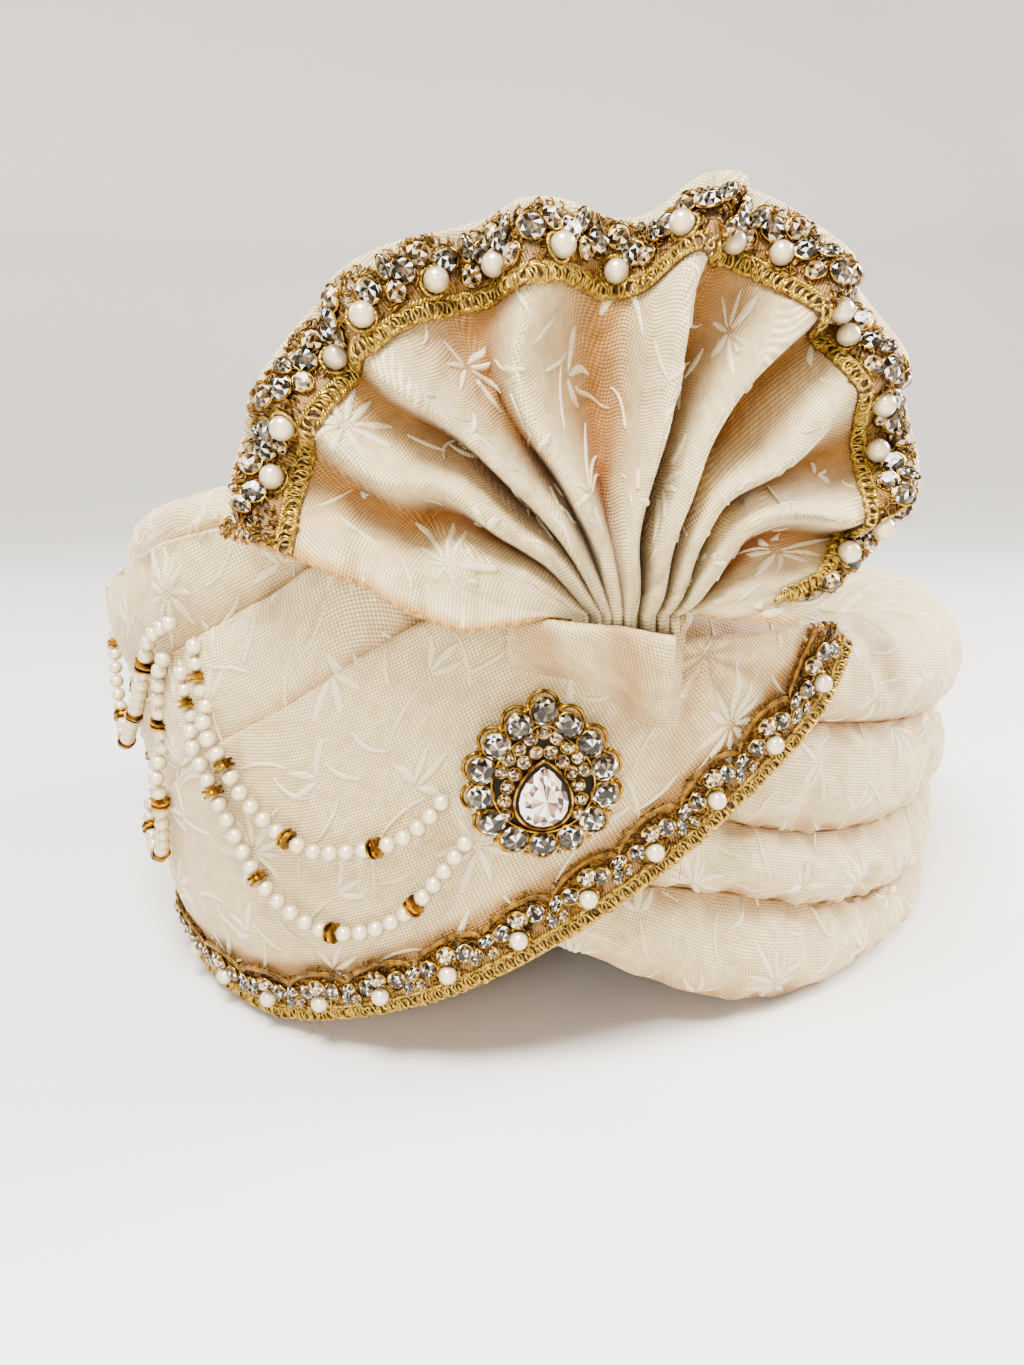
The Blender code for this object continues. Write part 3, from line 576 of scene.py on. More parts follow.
def add_node(tree, kind, inputs=None, **settings):
    """Adds a node with its settings; each input is a value to set or a socket to link from."""
    node = tree.nodes.new(kind)
    for name, value in settings.items():
        setattr(node, name, value)
    for name, value in (inputs or {}).items():
        if isinstance(value, bpy.types.NodeSocket):
            tree.links.new(value, node.inputs[name])
        else:
            node.inputs[name].default_value = value
    return node


def new_material(name, values):
    """A node material, its tree and its Principled shader, with values for the shader's own sockets."""
    finish = bpy.data.materials.new(name)
    finish.use_nodes = True
    shader = finish.node_tree.nodes["Principled BSDF"]
    for socket, value in values.items():
        shader.inputs[socket].default_value = value
    return finish, finish.node_tree, shader


def mesh_object(name, mesh):
    """An object in the scene that holds a mesh."""
    obj = bpy.data.objects.new(name, mesh)
    bpy.context.scene.collection.objects.link(obj)
    return obj


def grid_faces(rows, columns, close_rows, close_columns):
    """Corner indices of the quads of a grid, as row and column numbers that may run one past the end."""
    i, j = np.meshgrid(np.arange(rows if close_rows else rows - 1),
                       np.arange(columns if close_columns else columns - 1), indexing="ij")
    i = i.ravel()
    j = j.ravel()
    return np.stack((i, i, i + 1, i + 1), -1), np.stack((j, j + 1, j + 1, j), -1)


def skin(name, points, uv=None, close_rows=False, close_columns=False, caps=False, **marks):
    """A smooth mesh object from a grid of points. Its UV map holds the cloth's coordinates, and marks are
    values for every point that its finish reads, such as the painted shade and the stain. With caps, the
    first and last rows are closed between the front half of the columns and the back half."""
    rows, columns = points.shape[:2]
    i, j = grid_faces(rows, columns, close_rows, close_columns)
    faces = (i % rows) * columns + j % columns
    if caps:
        k = np.arange(columns // 2 - 1)
        for row in (0, rows - 1):
            cap = row * columns + np.stack((k, k + 1, columns - 2 - k, columns - 1 - k), -1)
            faces = np.concatenate((faces, cap))
            i = np.concatenate((i, np.full(cap.shape, row)))
            j = np.concatenate((j, cap - row * columns))
    if uv is not None:
        uv = uv[np.minimum(i, uv.shape[0] - 1), np.minimum(j, uv.shape[1] - 1)]
    return smooth_object(name, points.reshape(-1, 3), faces.tolist(), uv, **marks)


def smooth_object(name, points, faces, uv=None, **marks):
    """A smooth mesh object that faces outward, with UVs for its corners and marks for its points."""
    mesh = bpy.data.meshes.new(name)
    mesh.from_pydata(points.tolist(), [], faces)
    if uv is not None:
        mesh.uv_layers.new(name="cloth").data.foreach_set("uv", uv.reshape(-1).astype(np.float32))
    for mark, values in marks.items():
        attribute = mesh.attributes.new(mark, 'FLOAT', 'POINT')
        attribute.data.foreach_set("value", values.reshape(-1).astype(np.float32))
    bm = bmesh.new()
    bm.from_mesh(mesh)
    write_outward(bm, mesh)
    mesh.shade_smooth()
    return mesh_object(name, mesh)


def write_outward(bm, mesh):
    """Turns a bmesh's faces outward, writes it to a mesh and frees it."""
    bmesh.ops.recalc_face_normals(bm, faces=bm.faces)
    bm.to_mesh(mesh)
    bm.free()


def seat(obj, node, finish=None):
    """Gives a finished piece its finish by name and its body, and hides the solid that it stands for."""
    if finish:
        obj.data.materials.clear()
        obj.data.materials.append(finish_named(finish))
    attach(obj, BODY)
    if node:
        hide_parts(node)


# Finishes

def brocade(name, thread, gap, shade_tint, sheen=0.1):
    """Silk-blend brocade, a plain weave with a soft sheen. The weave is a lattice of small knuckles at the
    pitch in the settings, with painted light and shade: pale on their tops and a tan painted shade between
    them.
    Where the painted shade mark is set, the cloth takes a warm painted shade, in folds, creases and pleats
    and beside the lace. The stain mark yellows it: real stains, the fan's yellowed hem and, as a painted
    shade, the cloth deep between the fan's pleats."""
    pitch = bpy.context.scene.pagri.weave_pitch
    finish, tree, shader = new_material(name, {"Roughness": 0.55, "IOR": 1.45, "Sheen Weight": sheen,
                                               "Sheen Roughness": 0.4})
    uv = add_node(tree, 'ShaderNodeUVMap', uv_map="cloth").outputs["UV"]
    turned = add_node(tree, 'ShaderNodeMapping', {"Vector": uv,
                                                  "Rotation": (0, 0, math.radians(WEAVE_TURN))})
    parts = add_node(tree, 'ShaderNodeSeparateXYZ', {"Vector": turned.outputs["Vector"]})
    waves = []
    for axis, share in (("X", 1.0), ("Y", WEAVE_SQUASH)):
        phase = add_node(tree, 'ShaderNodeMath', {0: parts.outputs[axis], 1: math.pi / (share * pitch)},
                         operation='MULTIPLY')
        waves.append(add_node(tree, 'ShaderNodeMath', {0: phase.outputs[0]}, operation='SINE').outputs[0])
    product = add_node(tree, 'ShaderNodeMath', {0: waves[0], 1: waves[1]}, operation='MULTIPLY')
    knuckle = add_node(tree, 'ShaderNodeMapRange', {"Value": product.outputs[0], "From Min": -0.42,
                                                    "From Max": 0.42})
    place_in = add_node(tree, 'ShaderNodeTexCoord').outputs["Object"]
    slub = add_node(tree, 'ShaderNodeTexNoise', {"Vector": uv, "Scale": 260.0, "Detail": 3.0,
                                                 "Roughness": 0.6})
    cloud = add_node(tree, 'ShaderNodeTexNoise', {"Vector": place_in, "Scale": 26.0, "Detail": 2.0})
    uneven = add_node(tree, 'ShaderNodeMapRange', {"Value": slub.outputs[0], "From Min": 0.35,
                                                   "From Max": 0.6, "To Min": 0.45})
    lit = add_node(tree, 'ShaderNodeMath', {0: knuckle.outputs[0], 1: uneven.outputs[0]},
                   operation='MULTIPLY')
    # The weave's painted light and shade: pale on the knuckles' tops, a tan painted shade between them
    weave = add_node(tree, 'ShaderNodeMix', {0: lit.outputs[0], 6: linear(gap), 7: linear(thread)},
                     data_type='RGBA')
    # Painted shade: the painted shade mark multiplies the cloth by the warm shade colour
    hollow = add_node(tree, 'ShaderNodeAttribute', attribute_name="hollow").outputs["Fac"]
    tinted = add_node(tree, 'ShaderNodeMix', {0: hollow, 6: weave.outputs[2], 7: linear(shade_tint)},
                      data_type='RGBA', blend_type='MULTIPLY')
    patch = add_node(tree, 'ShaderNodeMapRange', {"Value": cloud.outputs[0], "From Min": 0.35,
                                                  "From Max": 0.8, "To Max": 0.35})
    aged = add_node(tree, 'ShaderNodeMix', {0: patch.outputs[0], 6: tinted.outputs[2], 7: linear("F3E2C4")},
                    data_type='RGBA', blend_type='MULTIPLY')
    # The stain mark: real stains, the fan's yellowed hem and painted shade deep between the fan's pleats
    stain = add_node(tree, 'ShaderNodeAttribute', attribute_name="stain").outputs["Fac"]
    stained = add_node(tree, 'ShaderNodeMix', {0: stain, 6: aged.outputs[2], 7: linear("D9AE50")},
                       data_type='RGBA', blend_type='MULTIPLY')
    tree.links.new(stained.outputs[2], shader.inputs["Base Color"])
    relief = add_node(tree, 'ShaderNodeMath', {0: slub.outputs[0], 1: 0.5, 2: knuckle.outputs[0]},
                      operation='MULTIPLY_ADD')
    bump = add_node(tree, 'ShaderNodeBump', {"Height": relief.outputs[0], "Strength": 0.75,
                                             "Distance": 0.25 * MM})
    tree.links.new(bump.outputs["Normal"], shader.inputs["Normal"])
    return finish


def figure_thread():
    """Untwisted silk floats of the woven figure: whiter than the ground, with a satin gloss."""
    finish, tree, shader = new_material("silk floats of the figure", {"Roughness": 0.38,
                                                                      "Sheen Weight": 0.1})
    uv = add_node(tree, 'ShaderNodeUVMap', uv_map="cloth").outputs["UV"]
    turned = add_node(tree, 'ShaderNodeMapping', {"Vector": uv,
                                                  "Rotation": (0, 0, math.radians(FLOAT_TURN))})
    parts = add_node(tree, 'ShaderNodeSeparateXYZ', {"Vector": turned.outputs["Vector"]})
    phase = add_node(tree, 'ShaderNodeMath', {0: parts.outputs["X"], 1: 2 * math.pi / FLOAT_PITCH},
                     operation='MULTIPLY')
    rib = add_node(tree, 'ShaderNodeMath', {0: phase.outputs[0]}, operation='SINE')
    share = add_node(tree, 'ShaderNodeMapRange', {"Value": rib.outputs[0], "From Min": -1.0, "From Max": 0.5})
    # Painted light and shade of the floats: pale on their ribs and darker in the troughs between them
    tone = add_node(tree, 'ShaderNodeMix', {0: share.outputs[0], 6: linear("C8B27E"), 7: linear("EEE0BA")},
                    data_type='RGBA')
    tree.links.new(tone.outputs[2], shader.inputs["Base Color"])
    bump = add_node(tree, 'ShaderNodeBump', {"Height": rib.outputs[0], "Strength": 0.6,
                                             "Distance": 0.12 * MM})
    tree.links.new(bump.outputs["Normal"], shader.inputs["Normal"])
    return finish


def gold_thread(name, light, dark, roughness, spread):
    """Metal-wrapped thread, pale gold on its crowns and brown where it lies deep or has tarnished."""
    finish, tree, shader = new_material(name, {"Metallic": 0.75, "Roughness": roughness})
    where = add_node(tree, 'ShaderNodeTexCoord').outputs["Object"]
    wear = add_node(tree, 'ShaderNodeTexNoise', {"Vector": where, "Scale": spread, "Detail": 3.0})
    share = add_node(tree, 'ShaderNodeMapRange', {"Value": wear.outputs[0], "From Min": 0.3,
                                                  "From Max": 0.68})
    tone = add_node(tree, 'ShaderNodeMix', {0: share.outputs[0], 6: linear(dark), 7: linear(light)},
                    data_type='RGBA')
    tree.links.new(tone.outputs[2], shader.inputs["Base Color"])
    return finish


def gold_metal():
    """Gold-plated die-cast brooch metal: polished on the rims, brown in its recesses."""
    finish, tree, shader = new_material("gold plate on cast metal", {"Metallic": 1.0, "Roughness": 0.22})
    where = add_node(tree, 'ShaderNodeTexCoord').outputs["Object"]
    stain = add_node(tree, 'ShaderNodeTexNoise', {"Vector": where, "Scale": 420.0, "Detail": 2.0})
    share = add_node(tree, 'ShaderNodeMapRange', {"Value": stain.outputs[0], "From Min": 0.38,
                                                  "From Max": 0.7})
    tone = add_node(tree, 'ShaderNodeMix', {0: share.outputs[0], 6: linear("4A2C04"), 7: linear("CC9A24")},
                    data_type='RGBA')
    tree.links.new(tone.outputs[2], shader.inputs["Base Color"])
    return finish


def shade_under_stones():
    """Near-black painted shade round and under the stones, on the plates between and below their settings."""
    return new_material("near-black painted shade under the stones", {"Base Color": linear("100A04"), "Roughness": 0.6,
                                                  "Specular IOR Level": 0.12})[0]


def glass_pearl():
    """Glass pearl: pearl-essence lacquer over a white bead, glossy, with a soft glow under the gloss and a
    warm brown painted shade and painted reflection towards its rim."""
    finish, tree, shader = new_material("cream glass pearl", {
        "Metallic": 0.25, "Roughness": 0.3, "Specular IOR Level": 0.7, "Coat Weight": 1.0,
        "Coat Roughness": 0.06})
    # Painted shade and painted reflection of the gold round it: the pearl darkens to brown towards its rim
    rim = add_node(tree, 'ShaderNodeLayerWeight', {"Blend": 0.45})
    tone = add_node(tree, 'ShaderNodeMix', {0: rim.outputs["Facing"], 6: linear("EEDCAE"),
                                            7: linear("6A4A1C")}, data_type='RGBA')
    tree.links.new(tone.outputs[2], shader.inputs["Base Color"])
    return finish


def crystal():
    """Foiled glass rhinestone. Each facet is painted with a tone that stands for what its mirror foil
    reflects, a painted reflection in white, smoke, amber or near black; the glass itself adds its sharp
    gloss."""
    finish, tree, shader = new_material("foiled glass rhinestone", {"Roughness": 0.08,
                                                                    "Specular IOR Level": 0.35})
    facet = add_node(tree, 'ShaderNodeAttribute', attribute_name="facet").outputs["Color"]
    tree.links.new(facet, shader.inputs["Base Color"])
    return finish


def net_ground():
    """Tan net of the lace under its threads: fine upright threads in a brown-gold ground, with painted shade
    where the braid and the thread nests lie over it.
    """
    finish, tree, shader = new_material("tan net of the lace", {"Roughness": 0.6})
    uv = add_node(tree, 'ShaderNodeUVMap', uv_map="cloth").outputs["UV"]
    parts = add_node(tree, 'ShaderNodeSeparateXYZ', {"Vector": uv})
    phase = add_node(tree, 'ShaderNodeMath', {0: parts.outputs["X"], 1: 2 * math.pi / NET_PITCH},
                     operation='MULTIPLY')
    wave = add_node(tree, 'ShaderNodeMath', {0: phase.outputs[0]}, operation='SINE')
    share = add_node(tree, 'ShaderNodeMapRange', {"Value": wave.outputs[0], "From Min": -1.0})
    # Painted shade under the braid and the nests darkens the net
    deep = add_node(tree, 'ShaderNodeAttribute', attribute_name="hollow").outputs["Fac"]
    tone = add_node(tree, 'ShaderNodeMix', {0: share.outputs[0], 6: linear("5E3C10"), 7: linear("A87A2C")},
                    data_type='RGBA')
    dark = add_node(tree, 'ShaderNodeMix', {0: deep, 6: tone.outputs[2], 7: linear("3A2208")},
                    data_type='RGBA')
    tree.links.new(dark.outputs[2], shader.inputs["Base Color"])
    bump = add_node(tree, 'ShaderNodeBump', {"Height": wave.outputs[0], "Strength": 0.5,
                                             "Distance": 0.2 * MM})
    tree.links.new(bump.outputs["Normal"], shader.inputs["Normal"])
    return finish


# Brocade colours: pale knuckle tops, tan painted shade between them, warm painted shade in folds and pleats
FINISHES = {
    "ground": (brocade, "ivory silk brocade", "F8E6B8", "B0965C", "C29034"),
    "lining": (brocade, "ivory cotton lining", "EDE3C4", "BCA674", "D8B070", 0.05),
    "figure": (figure_thread,),
    "braid": (gold_thread, "pale gold lurex braid", "D4AC3C", "4A3006", 0.3, 900.0),
    "nest": (gold_thread, "antique gold lurex thread", "9C6C1A", "180C02", 0.34, 500.0),
    "net": (net_ground,),
    "metal": (gold_metal,),
    "recess": (shade_under_stones,),
    "pearl": (glass_pearl,),
    "crystal": (crystal,),
}
made_finishes = {}


def finish_named(name):
    """A finish, made when it is first asked for."""
    if name not in made_finishes:
        maker, *values = FINISHES[name]
        made_finishes[name] = maker(*values)
    return made_finishes[name]


# Units that repeat

def bm_object(name, bm, smooth_faces=True):
    """An object from a bmesh, which is freed."""
    mesh = bpy.data.meshes.new(name)
    write_outward(bm, mesh)
    if smooth_faces:
        mesh.shade_smooth()
    else:
        mesh.shade_flat()
    return mesh_object(name, mesh)


def ring_loft(rings, close_ends=True):
    """A bmesh lofted through rings of points."""
    bm = bmesh.new()
    verts = [[bm.verts.new(p) for p in ring] for ring in rings]
    count = len(verts[0])
    for low, high in zip(verts, verts[1:]):
        for k in range(count):
            k2 = (k + 1) % count
            bm.faces.new((low[k], low[k2], high[k2], high[k]))
    if close_ends:
        bm.faces.new(verts[0][::-1])
        bm.faces.new(verts[-1])
    return bm


def grain_unit():
    """One turn of a twisted cord: a pointed grain along X, 1.24 long and 1.08 across its edges."""
    rings = []
    turn = np.arange(4) * 2 * np.pi / 4 + np.pi / 4
    for x, size in ((-0.62, 0.25), (-0.3, 0.9), (0.3, 0.9), (0.62, 0.25)):
        rings.append([(x, 0.6 * size * np.cos(a), 0.6 * size * np.sin(a)) for a in turn])
    return bm_object("grain", ring_loft(rings))


def tube_unit(name, path, radius, sides, closed=False):
    """A thin tube along a path of points."""
    path = np.asarray(path, float)
    count = len(path)
    if closed:
        ahead = unit(np.roll(path, -1, 0) - np.roll(path, 1, 0))
    else:
        ahead = unit(np.gradient(path, axis=0))
    side = unit(np.cross(ahead, (0.0, 0.0, 1.0)) + 1e-6)
    up = np.cross(side, ahead)
    turn = np.arange(sides) * 2 * np.pi / sides
    rings = [[path[k] + radius * (np.cos(a) * side[k] + np.sin(a) * up[k]) for a in turn]
             for k in range(count)]
    if closed:
        rings.append(rings[0])
    bm = ring_loft(rings, not closed)
    bmesh.ops.remove_doubles(bm, verts=bm.verts, dist=1e-6)
    return bm_object(name, bm)


def pearl_unit(segments, rings):
    """A pearl of diameter 1."""
    bm = bmesh.new()
    bmesh.ops.create_uvsphere(bm, u_segments=segments, v_segments=rings, radius=0.5)
    return bm_object("pearl", bm)


def stone_unit(outline, height, seed, tones, centre=(0.0, 0.0)):
    """A faceted stone on an outline about 1 wide: crown facets, star facets and a table whose inner facets
    show the cut of the back. Every facet has a painted reflection of its own, a tone picked at random."""
    random = np.random.default_rng(seed)
    count = len(outline)
    middle = np.array(centre)
    rings = ((1.0, 0.0), (1.0, 0.28 * height), (0.80, 0.68 * height), (TABLE_SHARE, height))
    bm = bmesh.new()
    verts = []
    for k, (scale, level) in enumerate(rings):
        ring = middle + (outline - middle) * scale
        if k == 2:
            ring = middle + ((outline + np.roll(outline, -1, 0)) / 2 - middle) * scale
        verts.append([bm.verts.new((x, y, level)) for x, y in ring])
    foot, girdle, crown, table = verts
    for k in range(count):
        k2 = (k + 1) % count
        bm.faces.new((foot[k], foot[k2], girdle[k2], girdle[k]))
        bm.faces.new((girdle[k], girdle[k2], crown[k]))
        bm.faces.new((girdle[k2], crown[k2], crown[k]))
        bm.faces.new((crown[k], crown[k2], table[k2]))
        bm.faces.new((crown[k], table[k2], table[k]))
    off_middle = 0.04 * np.ptp(outline[:, 0])
    peak = bm.verts.new((middle[0] + off_middle, middle[1] - off_middle, height * 0.96))
    for k in range(count):
        bm.faces.new((table[k], table[(k + 1) % count], peak))
    bm.faces.new(foot[::-1])
    layer = bm.loops.layers.float_color.new("facet")
    for face in bm.faces:
        tone = linear(PAINTED_FACET_REFLECTIONS[tones][random.integers(len(PAINTED_FACET_REFLECTIONS[tones]))])
        for loop in face.loops:
            loop[layer] = tone
    return bm_object("stone", bm, False)


def round_outline(sides, diameter=1.0):
    """A regular outline."""
    turn = 2 * np.pi * (np.arange(sides) + 0.5) / sides
    return np.stack((np.cos(turn), np.sin(turn)), -1) * diameter / 2


def marquise_outline(sides):
    """A boat-shaped outline 1 long along X and 1 wide, with blunt points."""
    turn = 2 * np.pi * np.arange(sides) / sides
    return np.stack((0.5 * np.cos(turn), 0.5 * np.sin(turn) * np.abs(np.sin(turn)) ** 0.35), -1)


def pear_outline(sides, width, length):
    """A pear outline with its tip up."""
    turn = 2 * math.pi * np.arange(sides) / sides
    across = width / 2 * PEAR_FULLNESS * np.sin(turn) * np.sin(turn / 2) ** PEAR_POINT
    return np.stack((across, length / 2 * np.cos(turn)), -1)


def rondelle_unit():
    """A rondelle of diameter 1 along X: two wavy gold rims on a core."""
    profile = ((-0.20, 0.40), (-0.20, 0.50), (-0.09, 0.50), (-0.07, 0.38), (0.07, 0.38), (0.09, 0.50),
               (0.20, 0.50), (0.20, 0.40))
    turn = np.arange(20) * 2 * np.pi / 20
    rings = []
    for x, radius in profile:
        wave = 1 + (0.05 * np.cos(5 * turn) if radius > 0.45 else 0 * turn)
        rings.append([(x, radius * w * np.cos(a), radius * w * np.sin(a)) for a, w in zip(turn, wave)])
    return bm_object("rondelle", ring_loft(rings), False)


def units_tree():
    """Geometry Nodes that set a unit on every point, turned by the point's own directions and scaled by
    its size, and realize the result."""
    tree = bpy.data.node_groups.new("units on points", 'GeometryNodeTree')
    for name, kind in (("Geometry", 'NodeSocketGeometry'), ("Unit", 'NodeSocketObject'),
                       ("Finish", 'NodeSocketMaterial'), ("Scale", 'NodeSocketFloat')):
        tree.interface.new_socket(name=name, in_out='INPUT', socket_type=kind)
    tree.interface.new_socket(name="Geometry", in_out='OUTPUT', socket_type='NodeSocketGeometry')
    entry = add_node(tree, 'NodeGroupInput').outputs
    shape = add_node(tree, 'GeometryNodeObjectInfo', {"Object": entry["Unit"]}).outputs["Geometry"]
    along, out, size = (
        add_node(tree, 'GeometryNodeInputNamedAttribute', {"Name": name}, data_type='FLOAT_VECTOR')
        for name in ("along", "out", "size")
    )
    upright = add_node(tree, 'FunctionNodeAlignRotationToVector', {"Vector": out.outputs[0]}, axis='Z')
    turned = add_node(tree, 'FunctionNodeAlignRotationToVector',
                      {"Rotation": upright.outputs[0], "Vector": along.outputs[0]}, axis='X', pivot_axis='Z')
    scale = add_node(tree, 'ShaderNodeVectorMath', {0: size.outputs[0], "Scale": entry["Scale"]},
                     operation='SCALE')
    cloud = add_node(tree, 'GeometryNodeMeshToPoints', {"Mesh": entry["Geometry"]})
    placed = add_node(tree, 'GeometryNodeInstanceOnPoints',
                      {"Points": cloud.outputs[0], "Instance": shape, "Rotation": turned.outputs[0],
                       "Scale": scale.outputs[0]})
    whole = add_node(tree, 'GeometryNodeRealizeInstances', {0: placed.outputs[0]})
    dressed = add_node(tree, 'GeometryNodeSetMaterial', {"Geometry": whole.outputs[0],
                                                         "Material": entry["Finish"]})
    add_node(tree, 'NodeGroupOutput', {"Geometry": dressed.outputs[0]})
    return tree


def units(name, unit_object, points, along, out, size, finish):
    """A plain mesh object with a unit on every point in a finish by name, made by Geometry Nodes."""
    tree = bpy.data.node_groups.get("units on points") or units_tree()
    mesh = bpy.data.meshes.new(name)
    mesh.from_pydata(np.asarray(points).tolist(), [], [])
    for key, values in (("along", along), ("out", out), ("size", size)):
        attribute = mesh.attributes.new(key, 'FLOAT_VECTOR', 'POINT')
        filled = np.broadcast_to(np.asarray(values, float), np.asarray(points).shape)
        attribute.data.foreach_set("vector", np.ascontiguousarray(filled, np.float32).ravel())
    obj = mesh_object(name, mesh)
    modifier = obj.modifiers.new("units", 'NODES')
    modifier.node_group = tree
    given = {"Unit": unit_object, "Finish": finish_named(finish), "Scale": 1.0}
    for item in tree.interface.items_tree:
        if item.item_type == 'SOCKET' and item.in_out == 'INPUT' and item.name in given:
            modifier[item.identifier] = given[item.name]
    return plain(obj)


def plain(obj):
    """The object with its modifiers' result as its own plain mesh."""
    bpy.context.view_layer.update()
    evaluated = obj.evaluated_get(bpy.context.evaluated_depsgraph_get())
    mesh = bpy.data.meshes.new_from_object(evaluated)
    obj.modifiers.clear()
    obj.data = mesh
    for name in [a.name for a in mesh.attributes if a.name in ("along", "out", "size")]:
        mesh.attributes.remove(mesh.attributes[name])
    return obj


def join(name, pieces):
    """One object from several, with their materials kept; the first one's mesh is the base."""
    bpy.ops.object.select_all(action='DESELECT')
    for piece in pieces:
        piece.select_set(True)
    bpy.context.view_layer.objects.active = pieces[0]
    bpy.ops.object.join()
    pieces[0].name = name
    pieces[0].data.name = name
    return pieces[0]


def drop(*objects):
    """Removes helper objects."""
    for obj in objects:
        bpy.data.objects.remove(obj, do_unlink=True)


# Cloth surfaces

def crease_height(name, azimuth):
    """Height of a crease in metres, with the small unevenness of hand winding."""
    sway = 0.7 * MM * ripple(place(1.0, azimuth, 0.0)[..., :2] * 0.13, 0.075, 11 + len(name))
    return section(name, azimuth) * MM + (sway if name.startswith("crease") else 0.0)


def roll_face(number):
    """The outer face of a roll as a closed grid, its first row repeated at the end, and its painted shade."""
    azimuths = np.linspace(0, 360, ROLL_COLUMNS + 1)[:, None]
    low_name, high_name = ROLL_LEVELS[number]
    low = np.maximum(crease_height(low_name, azimuths), 0.0) + (ROLL_GAP / 2 if number < 4 else 0.0)
    high = crease_height(high_name, azimuths) - (ROLL_GAP / 2 if number > 1 else 0.0)
    lap = np.clip(section("lap", azimuths), 0, 1)
    t = np.linspace(0, 1, FACE_STEPS + 1)[None, :]
    if number > 1:
        t = 0.5 - 0.5 * np.cos(np.pi * t)
        height = low + t * (high - low)
        rounded = CREASE_DEPTH * np.abs(2 * t - 1) ** CREASE_SHARPNESS
        turned = np.clip(1 - (1 - t) * (high - low) / LAP_FOLD, 0, 1)
        lapped = LAP_DEPTH * (1 - ease(t / LAP_EDGE)) + LAP_FOLD * (1 - np.sqrt(1 - turned**2))
        back = (1 - lap) * rounded + lap * lapped
        shade = np.maximum(back / CREASE_DEPTH, lap * np.exp(-(t * (high - low) / SHADE_WIDTH) ** 2))
        radius = body_radius(azimuths, height) - back
    else:
        inner = oval(OPENING_LENGTH, OPENING_WIDTH, azimuths)
        outer = body_radius(azimuths, low + CREST_FULLEST * (high - low)) - lap * TOP_LAP_DEPTH
        crease = (1 - lap) * CREASE_DEPTH + lap * LAP_DEPTH
        knots = np.linspace(0, 1, len(CREST))
        foot, inwards, rise = (smooth(knots, column(CREST, CREST_COLUMNS, name), t) for name in CREST_COLUMNS)
        radius = outer - foot * crease - inwards * (outer - inner)
        height = low + rise * (high - low)
        shade = foot * crease / CREASE_DEPTH
    points = place(radius, azimuths, height)
    points[-1] = points[0]
    # Painted shade in the creases, just above each lap and just above the panel's upper edge
    return points, np.maximum(np.clip(shade, 0, 1) ** 1.5 * 0.8, 0.7 * edge_shade(azimuths, height))


def crease_puckers(points, number):
    """How far the padded cloth of a roll swells or puckers at each point."""
    across = np.linspace(0, 1, points.shape[1])[None, :]
    edge = np.minimum(across, 1 - across) * 2
    flat = np.concatenate((points[..., :2], points[..., 2:] * 0.30), -1)
    pucker = ripple(flat, 0.011, 30 + number, 9) * np.exp(-((edge - 0.22) / 0.20) ** 2) * 0.35 * MM
    swell = ripple(points, 0.055, 40 + number) * 0.8 * MM * ease(edge * 2)
    crumple = ripple(points * (1, 1, 1.6), 0.022, 50 + number) * 0.28 * MM * ease(edge * 3)
    return pucker + swell + crumple


def puffed(points, number):
    """How far the padding pushes a roll's face out at each point: a short cloth simulation of a coarse
    copy, cut a little too wide, blown up from inside and pinned along both creases."""
    rows = np.arange(0, ROLL_COLUMNS, PUFF_ROW_STEP)
    columns = np.arange(0, FACE_STEPS + 1, PUFF_COLUMN_STEP)
    coarse = points[rows][:, columns]
    obj = skin(f"padding_{number}", coarse, close_rows=True)
    pins = obj.vertex_groups.new(name="pins")
    first = np.arange(len(rows)) * len(columns)
    pins.add(np.concatenate((first, first + len(columns) - 1)).tolist(), 1.0, 'REPLACE')
    modifier = obj.modifiers.new("cloth", 'CLOTH')
    modifier.collision_settings.use_collision = False
    modifier.point_cache.frame_end = PUFF_FRAMES
    settings = modifier.settings
    settings.vertex_group_mass = "pins"
    settings.mass = 0.15
    settings.shrink_min = -PUFF_EXCESS
    settings.use_pressure = True
    settings.uniform_pressure_force = PUFF_PRESSURE
    settings.effector_weights.gravity = 0.0
    settings.tension_stiffness = settings.compression_stiffness = 12.0
    settings.bending_stiffness = 0.02
    for frame in range(1, PUFF_FRAMES + 1):
        bpy.context.scene.frame_set(frame)
    evaluated = obj.evaluated_get(bpy.context.evaluated_depsgraph_get())
    moved = np.empty(coarse.size, np.float32)
    evaluated.data.vertices.foreach_get("co", moved)
    bpy.context.scene.frame_set(1)
    obj.modifiers.clear()
    drop(obj)
    normals = grid_normals(points, True)[rows][:, columns]
    sign = outward_sign(coarse, normals)
    shift = sign * ((moved.reshape(coarse.shape) - coarse) * normals).sum(-1)
    shift = PUFF_MOST * np.tanh(shift / PUFF_MOST)
    fine = np.stack([smooth(columns.astype(float), row, np.arange(FACE_STEPS + 1)) for row in shift])
    return np.stack([smooth(rows.astype(float), column_, np.arange(ROLL_COLUMNS + 1), float(ROLL_COLUMNS))
                     for column_ in fine.T], -1)


def panel_edges(u):
    """The panel's lower and upper edge at a place u along it, from its tail (0) to its top right (1)."""
    rows = np.linspace(0, 1, len(PANEL_ROWS))
    return [smooth(rows, column(PANEL_ROWS, PANEL_COLUMNS, name), u) for name in PANEL_COLUMNS]


def edge_shade(azimuth, height):
    """How shaded the rolls are just above the panel's upper edge, from 0 to 1."""
    _, _, top_azimuth, top_height = panel_edges(np.linspace(0, 1, EDGE_SAMPLES))
    above = height - np.interp(azimuth, top_azimuth, top_height) * MM
    covered = (azimuth > top_azimuth[0]) & (azimuth < top_azimuth[-1]) & (above > -2 * EDGE_SHADE)
    return covered * np.exp(-(np.maximum(above, 0) / EDGE_SHADE) ** 2)


